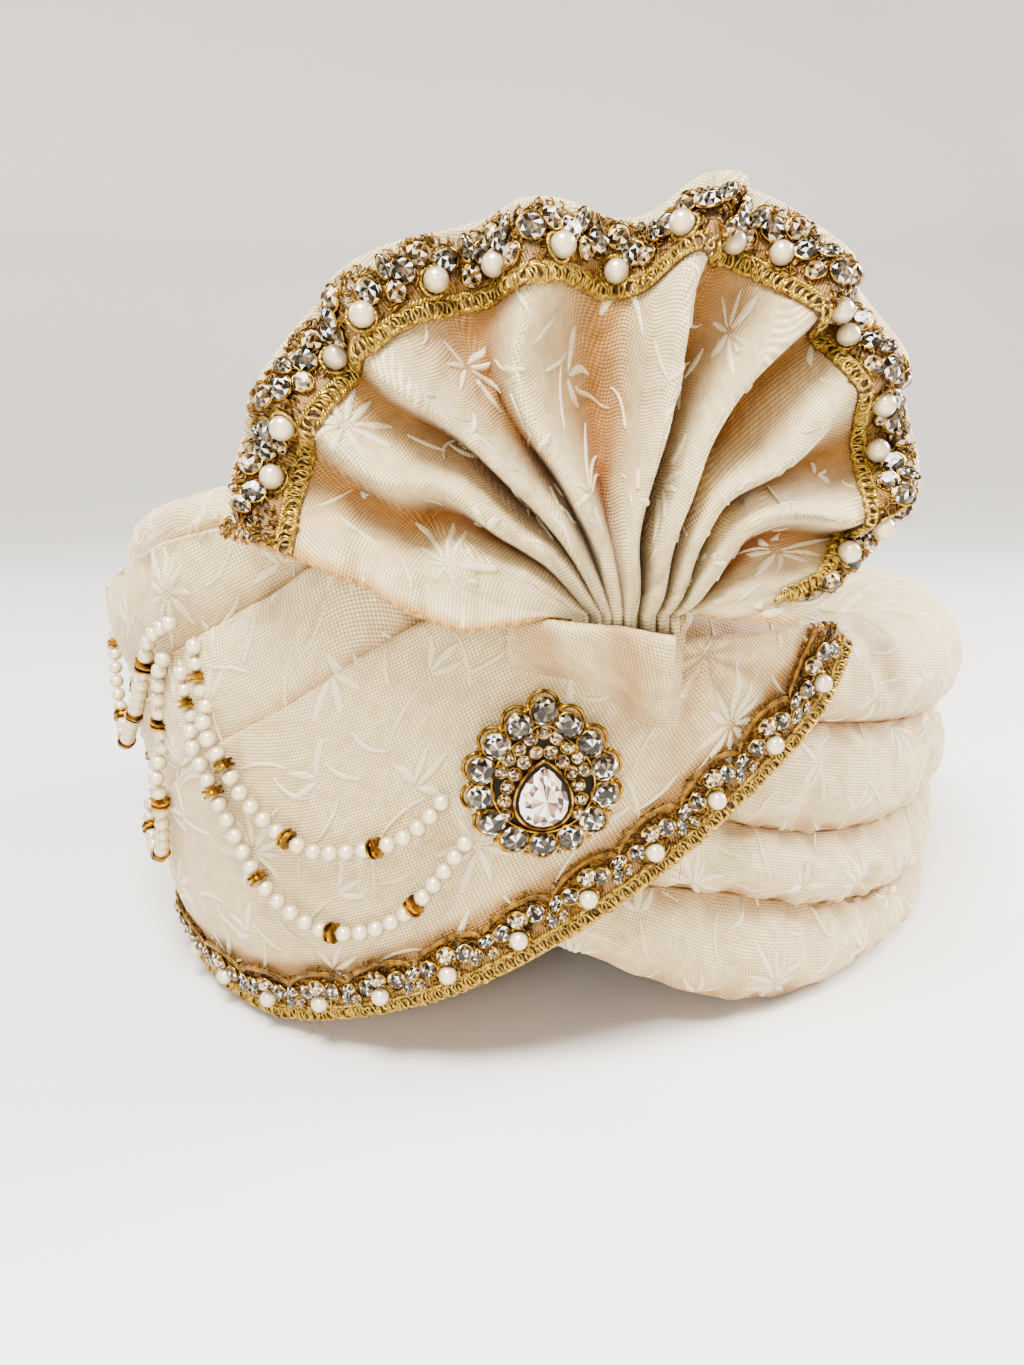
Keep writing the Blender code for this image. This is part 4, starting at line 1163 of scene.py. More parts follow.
def panel_point(u, v, stand):
    """A point over the panel, v from its lower edge (0) to its upper (1), at a stand off the rolls."""
    low_azimuth, low_height, top_azimuth, top_height = panel_edges(u)
    azimuth = low_azimuth + v * (top_azimuth - low_azimuth)
    height = (low_height + v * (top_height - low_height)) * MM
    return place(body_radius(azimuth, height) + stand, azimuth, height)


def skin_radius(azimuth, height):
    """Radius of the outermost cloth on the left and at the front, for what lies on it."""
    low_azimuth, low_height, top_azimuth, top_height = panel_edges(np.linspace(0, 1, EDGE_SAMPLES))
    low = np.interp(azimuth, low_azimuth, low_height) * MM
    top = np.interp(azimuth, top_azimuth, top_height) * MM
    covered = (height > low) & (height < top + EDGE_MARGIN) & (azimuth > low_azimuth[0])
    return body_radius(azimuth, height) + np.where(covered, PANEL_FIT + PANEL_CLOTH, 0.0)


def fan_shape(s, t):
    """The middle of the fan's cloth, s from its right edge (0) to its left (1) and t from the base (0) to
    the rim (1), and how far it lies forward (1) or back in a valley (-1)."""
    angles = column(FAN_RIM, FAN_RIM_COLUMNS, "angle")
    angle = angles[0] + s * (angles[-1] - angles[0])
    reach = smooth(angles, column(FAN_RIM, FAN_RIM_COLUMNS, "reach") * MM, angle)
    ridges = []
    for row in RIDGES:
        ridges.append(smooth(np.array(RIDGE_LEVELS), np.array(row[:len(RIDGE_LEVELS)], float), t))
    wave = np.ones_like(angle + t)
    depth = np.full_like(wave, RIDGES[0][RIDGE_COLUMNS.index("depth")])
    over = np.stack(np.broadcast_arrays(np.radians(angle), t * 1.1), -1)
    sway = FOLD_SWAY * ripple(over, 0.62, 73) * ease((t - 0.12) / 0.35)
    swayed = angle + sway * (1 - 0.7 * ease((t - 0.75) / 0.25))
    for k in range(len(RIDGES) - 1):
        passed = np.clip((swayed - ridges[k]) / np.maximum(ridges[k + 1] - ridges[k], 1e-6), 0, 1)
        valley = 0.5 + (RIDGES[k][RIDGE_COLUMNS.index("valley")] - 0.5) * ease(t / 0.4)
        phase = np.where(passed < valley, 0.5 * passed / valley, 0.5 + 0.5 * (passed - valley) / (1 - valley))
        here = (passed > 0) & (passed < 1)
        dip = (0.5 - 0.5 * np.cos(2 * np.pi * phase)) ** np.interp(t, (0.05, 0.5), VALLEY_SHARPNESS)
        wave = np.where(here, 1 - 2 * dip, wave)
        step = RIDGES[k + 1][RIDGE_COLUMNS.index("depth")] - RIDGES[k][RIDGE_COLUMNS.index("depth")]
        depth = depth + passed * step
    base_x = FAN_BASE_RIGHT + s * (FAN_BASE_LEFT - FAN_BASE_RIGHT)
    rim_x = FAN_X + reach * np.cos(np.radians(angle))
    rim_z = FAN_Z + reach * np.sin(np.radians(angle))
    x = base_x + t * (rim_x - base_x)
    z = FAN_Z + t * (rim_z - FAN_Z)
    y = -FAN_FRONT + FAN_BOW * (x - FAN_BOW_X) ** 2 + FAN_LEAN * (z - FAN_Z)
    y = y - wave * depth * MM * np.interp(t, *PLEAT_SWING)
    lip = ease((s - 0.90) / 0.10) * np.exp(-((t - 0.34) / 0.22) ** 2)
    curl = HEM_CURL * np.clip((s - 0.965) / 0.035, 0, 1) ** 2 * ease(t / 0.3)
    points = np.stack(np.broadcast_arrays(x, y - 2.5 * MM * lip - curl, z - 4.5 * MM * lip - 0.4 * curl), -1)
    spread = np.stack(np.broadcast_arrays(angle * reach * math.pi / 180 * (0.25 + 0.75 * t), t * reach), -1)
    crumple = ripple(spread * (1.0, 0.7), 0.026, 71) * 1.9 + ripple(spread * (1.0, 0.6), 0.010, 72) * 0.45
    points[..., 1] -= crumple * MM * ease(t / 0.35) * (1 - 0.5 * ease((t - 0.8) / 0.2))
    return points, wave


def sheet_between(name, front, back, uv, hollow, stain=None):
    """A closed sheet between a front and a back grid."""
    points = np.concatenate((front, back[:, ::-1]), 1)
    uvs = np.concatenate((uv, uv[:, ::-1], uv[:, :1]), 1)
    marks = {"hollow": hollow} if stain is None else {"hollow": hollow, "stain": stain}
    marks = {mark: np.concatenate((values, values[:, ::-1]), 1) for mark, values in marks.items()}
    return skin(name, points, uvs, close_columns=True, caps=True, **marks)


def figure_strokes(length, width, turn, origin, seed):
    """The strokes of the woven figure that fall near a cloth: for every step of each, its place in the
    cloth's coordinates, the way it heads, how far along it is and its half width."""
    random = np.random.default_rng(seed)
    cos, sin = math.cos(math.radians(turn)), math.sin(math.radians(turn))
    reach = math.hypot(length, width)
    columns = int(reach / FIGURE_PITCH[0]) + 2
    rows = int(reach / FIGURE_PITCH[1]) + 2
    share = np.linspace(0, 1, STROKE_STEPS)
    full = np.sin(np.pi * (0.03 + 0.93 * share ** 0.85)) ** 0.8
    places = []
    ways = []
    runs = []
    halves = []
    for a in range(-columns, columns + 1):
        for b in range(-rows, rows + 1):
            cx = a * FIGURE_PITCH[0]
            cy = b * FIGURE_PITCH[1] + (a % 2) * FIGURE_PITCH[1] / 2
            spin = math.radians(random.uniform(-FIGURE_SPIN, FIGURE_SPIN))
            middle = (origin[0] + cx * cos - cy * sin, origin[1] + cx * sin + cy * cos)
            if not (-FIGURE_MARGIN < middle[0] < length + FIGURE_MARGIN
                    and -FIGURE_MARGIN < middle[1] < width + FIGURE_MARGIN):
                continue
            for x, y, heading, stroke, bend, wide in STROKES:
                way = np.radians(heading + turn + bend * share) + spin
                step = stroke * MM / (STROKE_STEPS - 1)
                ahead = np.stack((np.cos(way), np.sin(way)), -1)
                path = np.concatenate((np.zeros((1, 2)), np.cumsum(ahead[:-1] * step, 0)))
                base = math.radians(turn) + spin
                start = (x * MM * math.cos(base) - y * MM * math.sin(base),
                         x * MM * math.sin(base) + y * MM * math.cos(base))
                places.append(path + np.array(middle) + np.array(start))
                ways.append(way)
                runs.append(share * stroke * MM)
                halves.append(np.maximum(wide * full, STROKE_THINNEST) * MM / 2)
    return [np.array(values) for values in (places, ways, runs, halves)]


def stained(points):
    """How strongly each point is stained, from 0 to 1."""
    total = np.zeros(points.shape[:-1])
    for x, y, z, radius, strength in STAINS:
        away = np.linalg.norm(points - np.array((x, y, z)) * MM, axis=-1) / (radius * MM)
        total += strength * np.exp(-away**2)
    return np.clip(total, 0, 1)


def add_figure(name, cloth, outward, turn, origin, seed, height=STROKE_HEIGHT, clear=0.0):
    """The woven figure of one cloth as low rounded strokes, each closed below the cloth and at its ends. No
    stroke lies within the clear width of the cloth's first edge or over a fold that would crush it."""
    places, ways, runs, halves = figure_strokes(cloth.along[-1], cloth.across.max(), turn, origin, seed)
    across, rise = (column(STROKE_SECTION, STROKE_SECTION_COLUMNS, key) for key in STROKE_SECTION_COLUMNS)
    side = np.stack((-np.sin(ways), np.cos(ways)), -1)[:, :, None]
    shift = halves[:, :, None] * across
    flat = places[:, :, None] + side * shift[..., None]
    points, normals, _, inside = cloth.at(flat[..., 0].ravel(), flat[..., 1].ravel())
    taper = halves / halves.max(1, keepdims=True)
    lift = height * rise * np.sqrt(taper)[:, :, None]
    points = points + outward * normals * lift.reshape(-1, 1)
    inside &= (points[:, 2] > FIGURE_LOWEST) & (flat[..., 1].ravel() > clear)
    ends = points.reshape(*flat.shape[:3], 3)[:, :, (0, -1)]
    spread = np.linalg.norm(ends[:, :, 1] - ends[:, :, 0], axis=-1) / (2 * halves)
    whole = inside.reshape(flat.shape[:3]).all(2) & (spread > LEAST_SPREAD) & (spread < MOST_SPREAD)
    size = len(across)
    ring = np.arange(size)
    quads = []
    caps = []
    for number, good in enumerate(whole):
        steps = np.flatnonzero(good)
        if len(steps) < 3 or steps[-1] - steps[0] >= len(steps):
            continue
        low = (number * STROKE_STEPS + steps[:-1, None]) * size
        quads.append(np.stack((low + ring, low + (ring + 1) % size, low + size + (ring + 1) % size,
                               low + size + ring), -1).reshape(-1, 4))
        caps.append((number * STROKE_STEPS + steps[[0, -1], None]) * size + ring)
    quads = np.concatenate(quads)
    caps = np.concatenate(caps)
    corners = np.concatenate((quads.ravel(), caps.ravel()))
    used = np.unique(corners)
    faces = np.searchsorted(used, quads).tolist() + np.searchsorted(used, caps).tolist()
    uv = np.stack(np.broadcast_arrays(runs[:, :, None], shift), -1).reshape(-1, 2)
    obj = smooth_object(name, points[used], faces, uv[corners])
    seat(obj, None, "figure")


def outward_sign(points, normals):
    """1 if the grid's normals point away from the middle of the turban, or else -1."""
    return 1.0 if ((points - (0.0, 0.0, 0.05)) * normals).sum() > 0 else -1.0


# Operators

class PagriSettings(bpy.types.PropertyGroup):
    """Sizes of the trimmings that a user would change."""
    weave_pitch: bpy.props.FloatProperty(
        name="Weave pitch", description="Distance from one knuckle of the weave to the next",
        default=0.68 * MM, unit='LENGTH')
    string_pearl: bpy.props.FloatProperty(
        name="String pearl", description="Diameter of the pearls on the strings", default=4.0 * MM,
        unit='LENGTH')
    lace_pearl: bpy.props.FloatProperty(
        name="Lace pearl", description="Diameter of the pearls on the panel's lace", default=4.4 * MM,
        unit='LENGTH')
    braid_pitch: bpy.props.FloatProperty(
        name="Braid pitch", description="Distance between two loops of the braid", default=2.7 * MM,
        unit='LENGTH')


class PAGRI_OT_rolls(bpy.types.Operator):
    """Makes the four wound and padded rolls with their woven figure"""
    bl_idname = "pagri.rolls"
    bl_label = "Wound rolls"

    def execute(self, context):
        for number in ROLL_LEVELS:
            points, hollow = roll_face(number)
            normals = grid_normals(points, True)
            sign = outward_sign(points, normals)
            out = crease_puckers(points, number) + puffed(points, number)
            points = points + (sign * out)[..., None] * normals
            points[..., 2] = np.maximum(points[..., 2], 0.0)
            points[-1] = points[0]
            cloth = Cloth(points, True)
            azimuths = np.linspace(0, 360, ROLL_COLUMNS + 1)
            inner = oval(OPENING_LENGTH, OPENING_WIDTH, azimuths)
            foot = place(inner, azimuths, points[:, 0, 2])[:, None]
            uv = cloth.uv()
            uv_foot = uv[:, :1] - (0, 0.02)
            loops = [foot, points]
            uvs = [uv_foot, uv]
            shades = [hollow[:, :1], hollow]
            if number > 1:
                loops.append(place(inner, azimuths, points[:, -1, 2])[:, None])
                uvs.append(uv[:, -1:] + (0, 0.02))
                shades.append(hollow[:, -1:])
            whole = np.concatenate(loops, 1)[:-1]
            obj = skin(f"roll_{number}_brocade", whole, np.concatenate(uvs + [uv_foot], 1), True, True,
                       hollow=np.concatenate(shades, 1)[:-1], stain=stained(whole))
            seat(obj, f"roll_{number}", "ground")
            add_figure(f"roll_{number}_figure", cloth, outward_sign(cloth.points, cloth.normals),
                       8.0 * number, (0.021 * number, 0.012 * number), 100 + number, 0.8 * STROKE_HEIGHT)
        return {'FINISHED'}


class PAGRI_OT_crown(bpy.types.Operator):
    """Makes the domed crown inside the rolls"""
    bl_idname = "pagri.crown"
    bl_label = "Crown"

    def execute(self, context):
        azimuths = np.linspace(0, 360, CROWN_AROUND + 1)[:, None]
        rim = oval(OPENING_LENGTH, OPENING_WIDTH, azimuths) - CROWN_FIT
        share = np.linspace(1, 0.02, CROWN_RINGS)[None, :]
        top = place(rim * share, azimuths, CROWN_TOP - (CROWN_TOP - CROWN_RIM) * share**2)
        pleat = ripple(top * (1, 1, 0), 0.03, 5) * 0.5 * MM
        top[..., 2] += pleat - 0.5 * MM
        below = place(rim * share * 0.975, azimuths,
                      CROWN_TOP - CROWN_WALL - (CROWN_TOP - CROWN_RIM - 0.6 * MM) * share**2)
        points = np.concatenate((top, below[:, ::-1]), 1)[:-1]
        uv = np.concatenate((points[..., :2], points[:, :1, :2]), 1)
        uv = np.concatenate((uv, uv[:1]))
        obj = skin("crown_cloth", points, uv, True, True)
        close_pole(obj)
        seat(obj, "crown", "lining")
        return {'FINISHED'}


def close_pole(obj):
    """Closes the small hole in the middle of the crown above and below."""
    bm = bmesh.new()
    bm.from_mesh(obj.data)
    bm.verts.ensure_lookup_table()
    ring_faces = [f for f in bm.faces if all(math.hypot(v.co.x, v.co.y) < 3 * MM for v in f.verts)
                  and max(v.co.z for v in f.verts) - min(v.co.z for v in f.verts) > 1 * MM]
    bmesh.ops.delete(bm, geom=ring_faces, context='FACES_ONLY')
    bmesh.ops.holes_fill(bm, edges=[e for e in bm.edges if e.is_boundary])
    write_outward(bm, obj.data)


def panel_cloth():
    """The outer face of the front panel and its painted shade."""
    u = np.linspace(0, 1, PANEL_ALONG + 1)[:, None]
    v = np.linspace(0, 1, PANEL_ACROSS + 1)[None, :]
    points = panel_point(u, v, PANEL_FIT + PANEL_CLOTH)
    normals = grid_normals(points)
    sign = outward_sign(points, normals)
    edge = np.minimum(np.minimum(v, 1 - v) * 5, 1)
    drape = ripple(points, 0.045, 21) * 0.55 + ripple(points * (1.0, 1.0, 0.35), 0.016, 22) * 0.22
    wrinkles = WRINKLE * ripple(points * (1.0, 1.0, 0.15), 0.011, 23)
    drape = drape + wrinkles * np.exp(-((u - WRINKLES_AT) / 0.09) ** 2)
    from_tie = np.arctan2(points[..., 2] - 100 * MM, points[..., 0] - 22 * MM)
    near_tie = np.exp(-(np.hypot(points[..., 0] - 22 * MM, points[..., 2] - 98 * MM) / (26 * MM)) ** 2)
    pulls = np.cos(from_tie * 9.0 + 0.6) * 0.9 * near_tie
    lift = (drape * edge + pulls * edge) * MM
    width = np.linalg.norm(points[:, -1] - points[:, 0], axis=-1)[:, None]
    turned = np.clip(1 - (1 - v) * width / LAP_FOLD, 0, 1)
    lift = lift - LAP_FOLD * (1 - np.sqrt(1 - np.minimum(turned, 0.99) ** 2))
    points = points + (sign * lift)[..., None] * normals
    # Painted shade in the folds pulled round the tie, over a slight even tint of the shade colour
    folded = 0.1 + 0.35 * near_tie * (1 - np.cos(from_tie * 9.0 + 0.6)) / 2
    from_braid = Cloth(points).across - LACE_INSET - LACE_WIDTH
    # Painted warm shade in a band on the cloth just beyond the lace
    lace_edge_shade = 0.85 * np.exp(-(np.maximum(from_braid, 0.0) / LACE_EDGE_SHADE_WIDTH) ** 2)
    return points, np.maximum(folded, lace_edge_shade)


class PAGRI_OT_panel(bpy.types.Operator):
    """Makes the draped front panel with its woven figure"""
    bl_idname = "pagri.panel"
    bl_label = "Front panel"

    def execute(self, context):
        front, hollow = panel_cloth()
        u = np.linspace(0, 1, PANEL_ALONG + 1)[:, None]
        v = np.linspace(0, 1, PANEL_ACROSS + 1)[None, :]
        back = panel_point(u, v, PANEL_FIT)
        cloth = Cloth(front)
        obj = sheet_between("front_panel_brocade", front, back, cloth.uv(), hollow)
        seat(obj, "front_panel", "ground")
        add_figure("front_panel_figure", cloth, outward_sign(cloth.points, cloth.normals), -36.0,
                   (0.150, 0.048), 120)
        return {'FINISHED'}


class PAGRI_OT_tie(bpy.types.Operator):
    """Makes the folded cloth over the foot of the fan"""
    bl_idname = "pagri.tie"
    bl_label = "Fan tie"

    def execute(self, context):
        azimuths = column(TIE_ROWS, TIE_COLUMNS, "azimuth")
        at = np.linspace(azimuths[0], azimuths[-1], TIE_ALONG + 1)[:, None]
        low, top, swell = (smooth(azimuths, column(TIE_ROWS, TIE_COLUMNS, name), at) * MM
                           for name in ("low_height", "top_height", "swell"))
        v = np.linspace(0, 1, TIE_ACROSS + 1)[None, :]
        height = low + v * (top - low)
        stand = PANEL_FIT + PANEL_CLOTH + TIE_FIT
        swell = swell * (1 - TIE_FLAT_SHARE * ease((at - TIE_FOLD_AZIMUTH) / 1.2))
        radius = body_radius(at, height) + stand + swell * ease(v / TIE_FULLEST)
        back = place(radius, at, height)
        fold = np.cos((at - azimuths[0]) / (azimuths[-1] - azimuths[0]) * 2 * np.pi * 2.1 + 1.6 * v)
        deep = fold * 1.4 * MM * ease(v * 1.4) * ease((at - azimuths[0]) / 4.0)
        tuck = TIE_CLOTH * (1 - np.sqrt(1 - np.clip((v - 0.9) / 0.1, 0, 0.98) ** 2))
        over_edge = 1 - ease((at + TIE_FOLD_LEAN * (1 - v) - TIE_FOLD_AZIMUTH) / 0.5)
        dip = TIE_DIP * (2 - ease(v / 0.3) - ease((at - azimuths[0]) / 3.5))
        dip = dip + 0.6 * MM * ease((at - 276) / 1.5)
        front = place(radius + 0.3 * MM + TIE_CLOTH * over_edge * ease(v / 0.3) + deep - tuck - dip, at,
                      height)
        cloth = Cloth(front)
        # Painted shade in the tie's folds, over a slight even tint of the shade colour
        hollow = 0.1 + 0.55 * (1 - fold) / 2 * np.ones_like(height)
        obj = sheet_between("fan_tie_brocade", front, back, cloth.uv(), hollow)
        seat(obj, "fan_tie", "ground")
        return {'FINISHED'}


def fan_grids():
    """Front and back of the fan's cloth and its painted shade."""
    s = np.linspace(0, 1, FAN_ALONG + 1)[:, None]
    t = np.linspace(0, 1, FAN_ACROSS + 1)[None, :]
    middle, wave = fan_shape(s, t)
    stem = middle[:, :1] - (0, 0, FAN_STEM)
    middle = np.concatenate((stem, middle), 1)
    wave = np.concatenate((wave[:, :1], wave), 1)
    normals = grid_normals(middle)
    if normals[..., 1].mean() > 0:
        normals = -normals
    front = middle + normals * FAN_CLOTH / 2
    back = middle - normals * FAN_CLOTH / 2
    run = Cloth(front).across
    from_rim = run[:, -1:] - run
    # Painted shade in the valleys between the pleats, fading out towards the rim under the lace
    hollow = np.clip((1 - wave) / 2, 0, 1) ** 1.8 * 0.95 * ease(from_rim / FAN_LACE_WIDTH)
    from_braid = from_rim - FAN_LACE_INSET - FAN_LACE_WIDTH
    # Painted warm shade in a band along the lace's braid
    lace_edge_shade = 0.6 * np.exp(-(from_braid / LACE_EDGE_SHADE_WIDTH) ** 2)
    return front, back, np.maximum(hollow, lace_edge_shade)


def fan_hem_and_pleat_shade(hollow):
    """How far the fan's cloth is yellowed through its stain mark: along the old hem at both ends, a real
    yellowing, and deep between the pleats near the base, a painted shade.
    """
    s = np.linspace(0, 1, hollow.shape[0])[:, None]
    t = np.linspace(0, 1, hollow.shape[1])[None, :]
    hem = 0.9 * np.maximum(1 - ease(s / (3 * HEM_SHARE)), 1 - ease((1 - s) / HEM_SHARE))
    # Real yellow along the hem; painted shade deep between the pleats near the base
    return np.maximum(hem, ease((hollow - 0.45) / 0.4) * (1 - ease((t - 0.2) / 0.45)))


class PAGRI_OT_fan(bpy.types.Operator):
    """Makes the pleated fan with its woven figure"""
    bl_idname = "pagri.fan"
    bl_label = "Pleated fan"

    def execute(self, context):
        front, back, hollow = fan_grids()
        cloth = Cloth(front)
        # The stain mark carries the fan's yellowed hem and the painted shade deep between its pleats
        obj = sheet_between("fan_brocade", front, back, cloth.uv(), hollow, fan_hem_and_pleat_shade(hollow))
        seat(obj, "fan", "ground")
        sign = 1.0 if cloth.normals[..., 1].mean() < 0 else -1.0
        add_figure("fan_figure", cloth, sign, 20.0, (0.09, 0.045), 140, clear=FAN_PLAIN)
        return {'FINISHED'}


class Lace:
    """A lace band on its carrier: places along it and across from its braided edge."""

    def __init__(self, cloth, outward):
        self.cloth = cloth
        self.outward = outward
        self.length = cloth.along[-1]

    def at(self, along, across, lift=0.0):
        """Points, directions along and outward normals at places on the band."""
        along, across = np.broadcast_arrays(np.asarray(along, float), np.asarray(across, float))
        points, normals, ahead, _ = self.cloth.at(along.ravel(), across.ravel())
        normals = normals * self.outward
        return points + normals * np.asarray(lift), unit(ahead), normals


def panel_lace_band():
    """The band along the panel's lower edge; its braid is at the edge."""
    u = np.linspace(0, 1, PANEL_LACE_ROWS)[:, None]
    v = np.linspace(0, 1, LACE_COLUMNS)[None, :]
    low = panel_point(u, 0.0, 0.0)
    top = panel_point(u, 1.0, 0.0)
    whole = np.linalg.norm(top - low, axis=-1)
    share = np.minimum((LACE_INSET + LACE_WIDTH * v) / whole, 1.0)
    points = panel_point(u, share, PANEL_FIT + PANEL_CLOTH + LACE_FIT + 0.4 * MM)
    cloth = Cloth(points)
    return Lace(cloth, outward_sign(points, cloth.normals))


def fan_lace_band():
    """The band along the fan's rim; its braid is on the inner side."""
    s = np.linspace(FAN_LACE_START, 1, FAN_LACE_ROWS)[:, None]
    v = np.linspace(0, 1, LACE_COLUMNS)[None, :]
    rim, _ = fan_shape(s, np.ones_like(s))
    base, _ = fan_shape(s, np.zeros_like(s))
    flat = (rim - base)[..., (0, 2)]
    share = (FAN_LACE_INSET + FAN_LACE_WIDTH * (1 - v)) / np.linalg.norm(flat, axis=-1)
    points, _ = fan_shape(s, 1 - share)
    cloth = Cloth(points)
    sign = 1.0 if cloth.normals[..., 1].mean() < 0 else -1.0
    return Lace(Cloth(points + cloth.normals * sign * (FAN_CLOTH / 2 + 0.5 * MM)), sign)


def scallop(along):
    """How far across the lace its threads reach, in metres: a round arch over each pearl."""
    phase = np.abs(((along / LACE_REPEAT + 0.5) % 1.0) - 0.5) * 2
    return (11.4 + 4.6 * np.sqrt(np.clip(1 - phase**2, 0, 1))) * MM


def dress_lace(lace, name, grow, seed, edged):
    """Everything on a lace band: its net, braid, thread nests, pearls and stones; grow scales the stones
    and pearls, and edged adds a cord along the scallops."""
    random = np.random.default_rng(seed)
    across = lace.cloth.across
    shown = slice(0, int((across.mean(0) < NET_WIDTH).sum()))
    net = lace.cloth.points[:, shown]
    normals = lace.outward * lace.cloth.normals[:, shown]
    # Painted shade on the net where the braid and the thread nests cover it; a band between them stays light
    deep = 0.85 * ease((np.abs(across[:, shown] - 5.8 * MM) - 1.2 * MM) / (1.2 * MM))
    base = sheet_between(f"{name}_net", net + 0.15 * MM * normals, net - 0.35 * MM * normals,
                         lace.cloth.uv()[:, shown], deep)
    seat(base, name, "net")
    repeats = int(lace.length / LACE_REPEAT)
    first = (lace.length - repeats * LACE_REPEAT) / 2 + LACE_REPEAT / 2
    middles = first + np.arange(repeats) * LACE_REPEAT
    width = across.max(1).mean()
    make_braid(lace, name, random)
    if edged:
        add_loose_threads(lace, name, random)
    make_nests(lace, name, middles, width, random, edged)
    make_lace_pearls(lace, name, middles, grow)
    make_lace_stones(lace, name, middles, width, grow, random, LACE_STONES if edged else FAN_STONES)


def make_braid(lace, name, random):
    """The crocheted edge: a row of leaning loops between two twisted cords."""
    settings = bpy.context.scene.pagri
    turn = np.arange(10) * 2 * np.pi / 10
    loop = tube_unit("loop", np.stack((0.40 * np.cos(turn), 0.5 * np.sin(turn), 0.12 * np.cos(2 * turn)), -1),
                     0.105, 5, True)
    along = np.arange(0.5 * settings.braid_pitch, lace.length, settings.braid_pitch)
    pieces = []
    for shift, across, lean, size in BRAID_LOOPS:
        where = along + shift * settings.braid_pitch
        where = where[where < lace.length]
        jitter = random.normal(size=(len(where), 2))
        points, ahead, out = lace.at(where, (across + 0.18 * jitter[:, 0]) * MM, LOOP_LIFT)
        side = np.cross(out, ahead)
        way = unit(ahead + side * (lean + 0.18 * jitter[:, 1:2]))
        tilt = unit(out + ahead * 0.35 * jitter[:, 1:2])
        scale = np.array((0.78 * size, size, size)) * MM
        pieces.append(units(f"{name}_loops", loop, points, way, tilt, scale, "braid"))
    for across in (0.35, BRAID_WIDTH / MM):
        where = np.arange(0.0, lace.length, CORD_STEP)
        points, ahead, out = lace.at(where, across * MM, CORD_LIFT)
        side = np.cross(out, ahead)
        twist = grain_unit()
        scale = np.array((1.5, 0.8, 0.8)) * MM
        pieces.append(units(f"{name}_cord", twist, points, unit(ahead + 0.7 * side), out, scale,
                            "braid"))
        drop(twist)
    seat(join(f"{name}_braid", pieces), None)
    drop(loop)


def add_loose_threads(lace, name, random):
    """Loose ends of lurex that have worked out of the braid, hanging below it."""
    for share, length, bend in LOOSE_THREADS:
        start, ahead, out = (v[0] for v in lace.at([share * lace.length], [0.0], 0.2 * MM))
        run = np.linspace(0, 1, 12)[:, None]
        down = unit(np.cross(out, ahead))
        down = down * -np.sign(down[2])
        curl = np.sin(run * math.pi * 1.4) * bend * MM * ahead
        path = start + run * length * MM * (down * (1 - 0.3 * run) + 0.5 * run * out) + curl
        path += random.normal(0, 0.12 * MM, path.shape) * run
        path[:, 2] = np.maximum(path[:, 2], 0.3 * MM)
        thread = tube_unit(f"{name}_loose_thread", path, 0.09 * MM, 4)
        seat(thread, None, "braid")


def make_nests(lace, name, middles, width, random, edged):
    """The thread nests that the stones sit in: small loops of antique gold thread in scallops, and with
    edged a cord along the scallops."""
    turn = np.linspace(0, np.pi, 5)
    arch = tube_unit("arch", np.stack((0.5 * np.cos(turn), 0 * turn, 0.36 * np.sin(turn)), -1), 0.11, 3)
    count = int(lace.length * width / (0.62 * MM**2) * 0.62)
    along = random.uniform(0, lace.length, count)
    across = random.uniform(4.4 * MM, width, count)
    edge = scallop(along - middles[0]) * width / SCALLOP_REACH
    aside = np.abs(((along - middles[0]) / LACE_REPEAT + 0.5) % 1.0 - 0.5) * LACE_REPEAT
    window = (across < 8.6 * MM) & (aside > 4.2 * MM)
    keep = (across < edge) & ~(window & (random.uniform(size=count) < 0.8))
    along = along[keep]
    across = across[keep]
    lift = random.uniform(0.0, 0.55, len(along)) - 0.7 * ease((across - NET_WIDTH + 1.5 * MM) / (2.5 * MM))
    points, ahead, out = lace.at(along, across, lift[:, None] * MM)
    spin = random.uniform(0, np.pi, len(along))[:, None]
    way = np.cos(spin) * ahead + np.sin(spin) * np.cross(out, ahead)
    scale = random.uniform(1.5, 2.6, len(along))[:, None] * MM
    lean = unit(out + 0.35 * random.normal(size=out.shape))
    tangle = units(f"{name}_threads", arch, points, way, lean, scale, "nest")
    drop(arch)
    if edged:
        along = np.arange(0.0, lace.length, SCALLOP_STEP)
        across = scallop(along - middles[0]) * width / SCALLOP_REACH - 0.5 * MM
        points, ahead, out = lace.at(along, across, CORD_LIFT)
        side = np.cross(out, ahead)
        rise = np.gradient(across, along)[:, None]
        step = lace.at(along, across + 0.5 * MM)[0] - lace.at(along, across)[0]
        towards = np.sign((side * step).sum(-1))[:, None]
        grain = grain_unit()
        cord = units(f"{name}_scallops", grain, points, unit(ahead + side * (towards * rise + 0.55)), out,
                     np.array((1.9, 1.0, 1.0)) * MM, "nest")
        drop(grain)
        tangle = join(f"{name}_threads", [tangle, cord])
    seat(tangle, None)


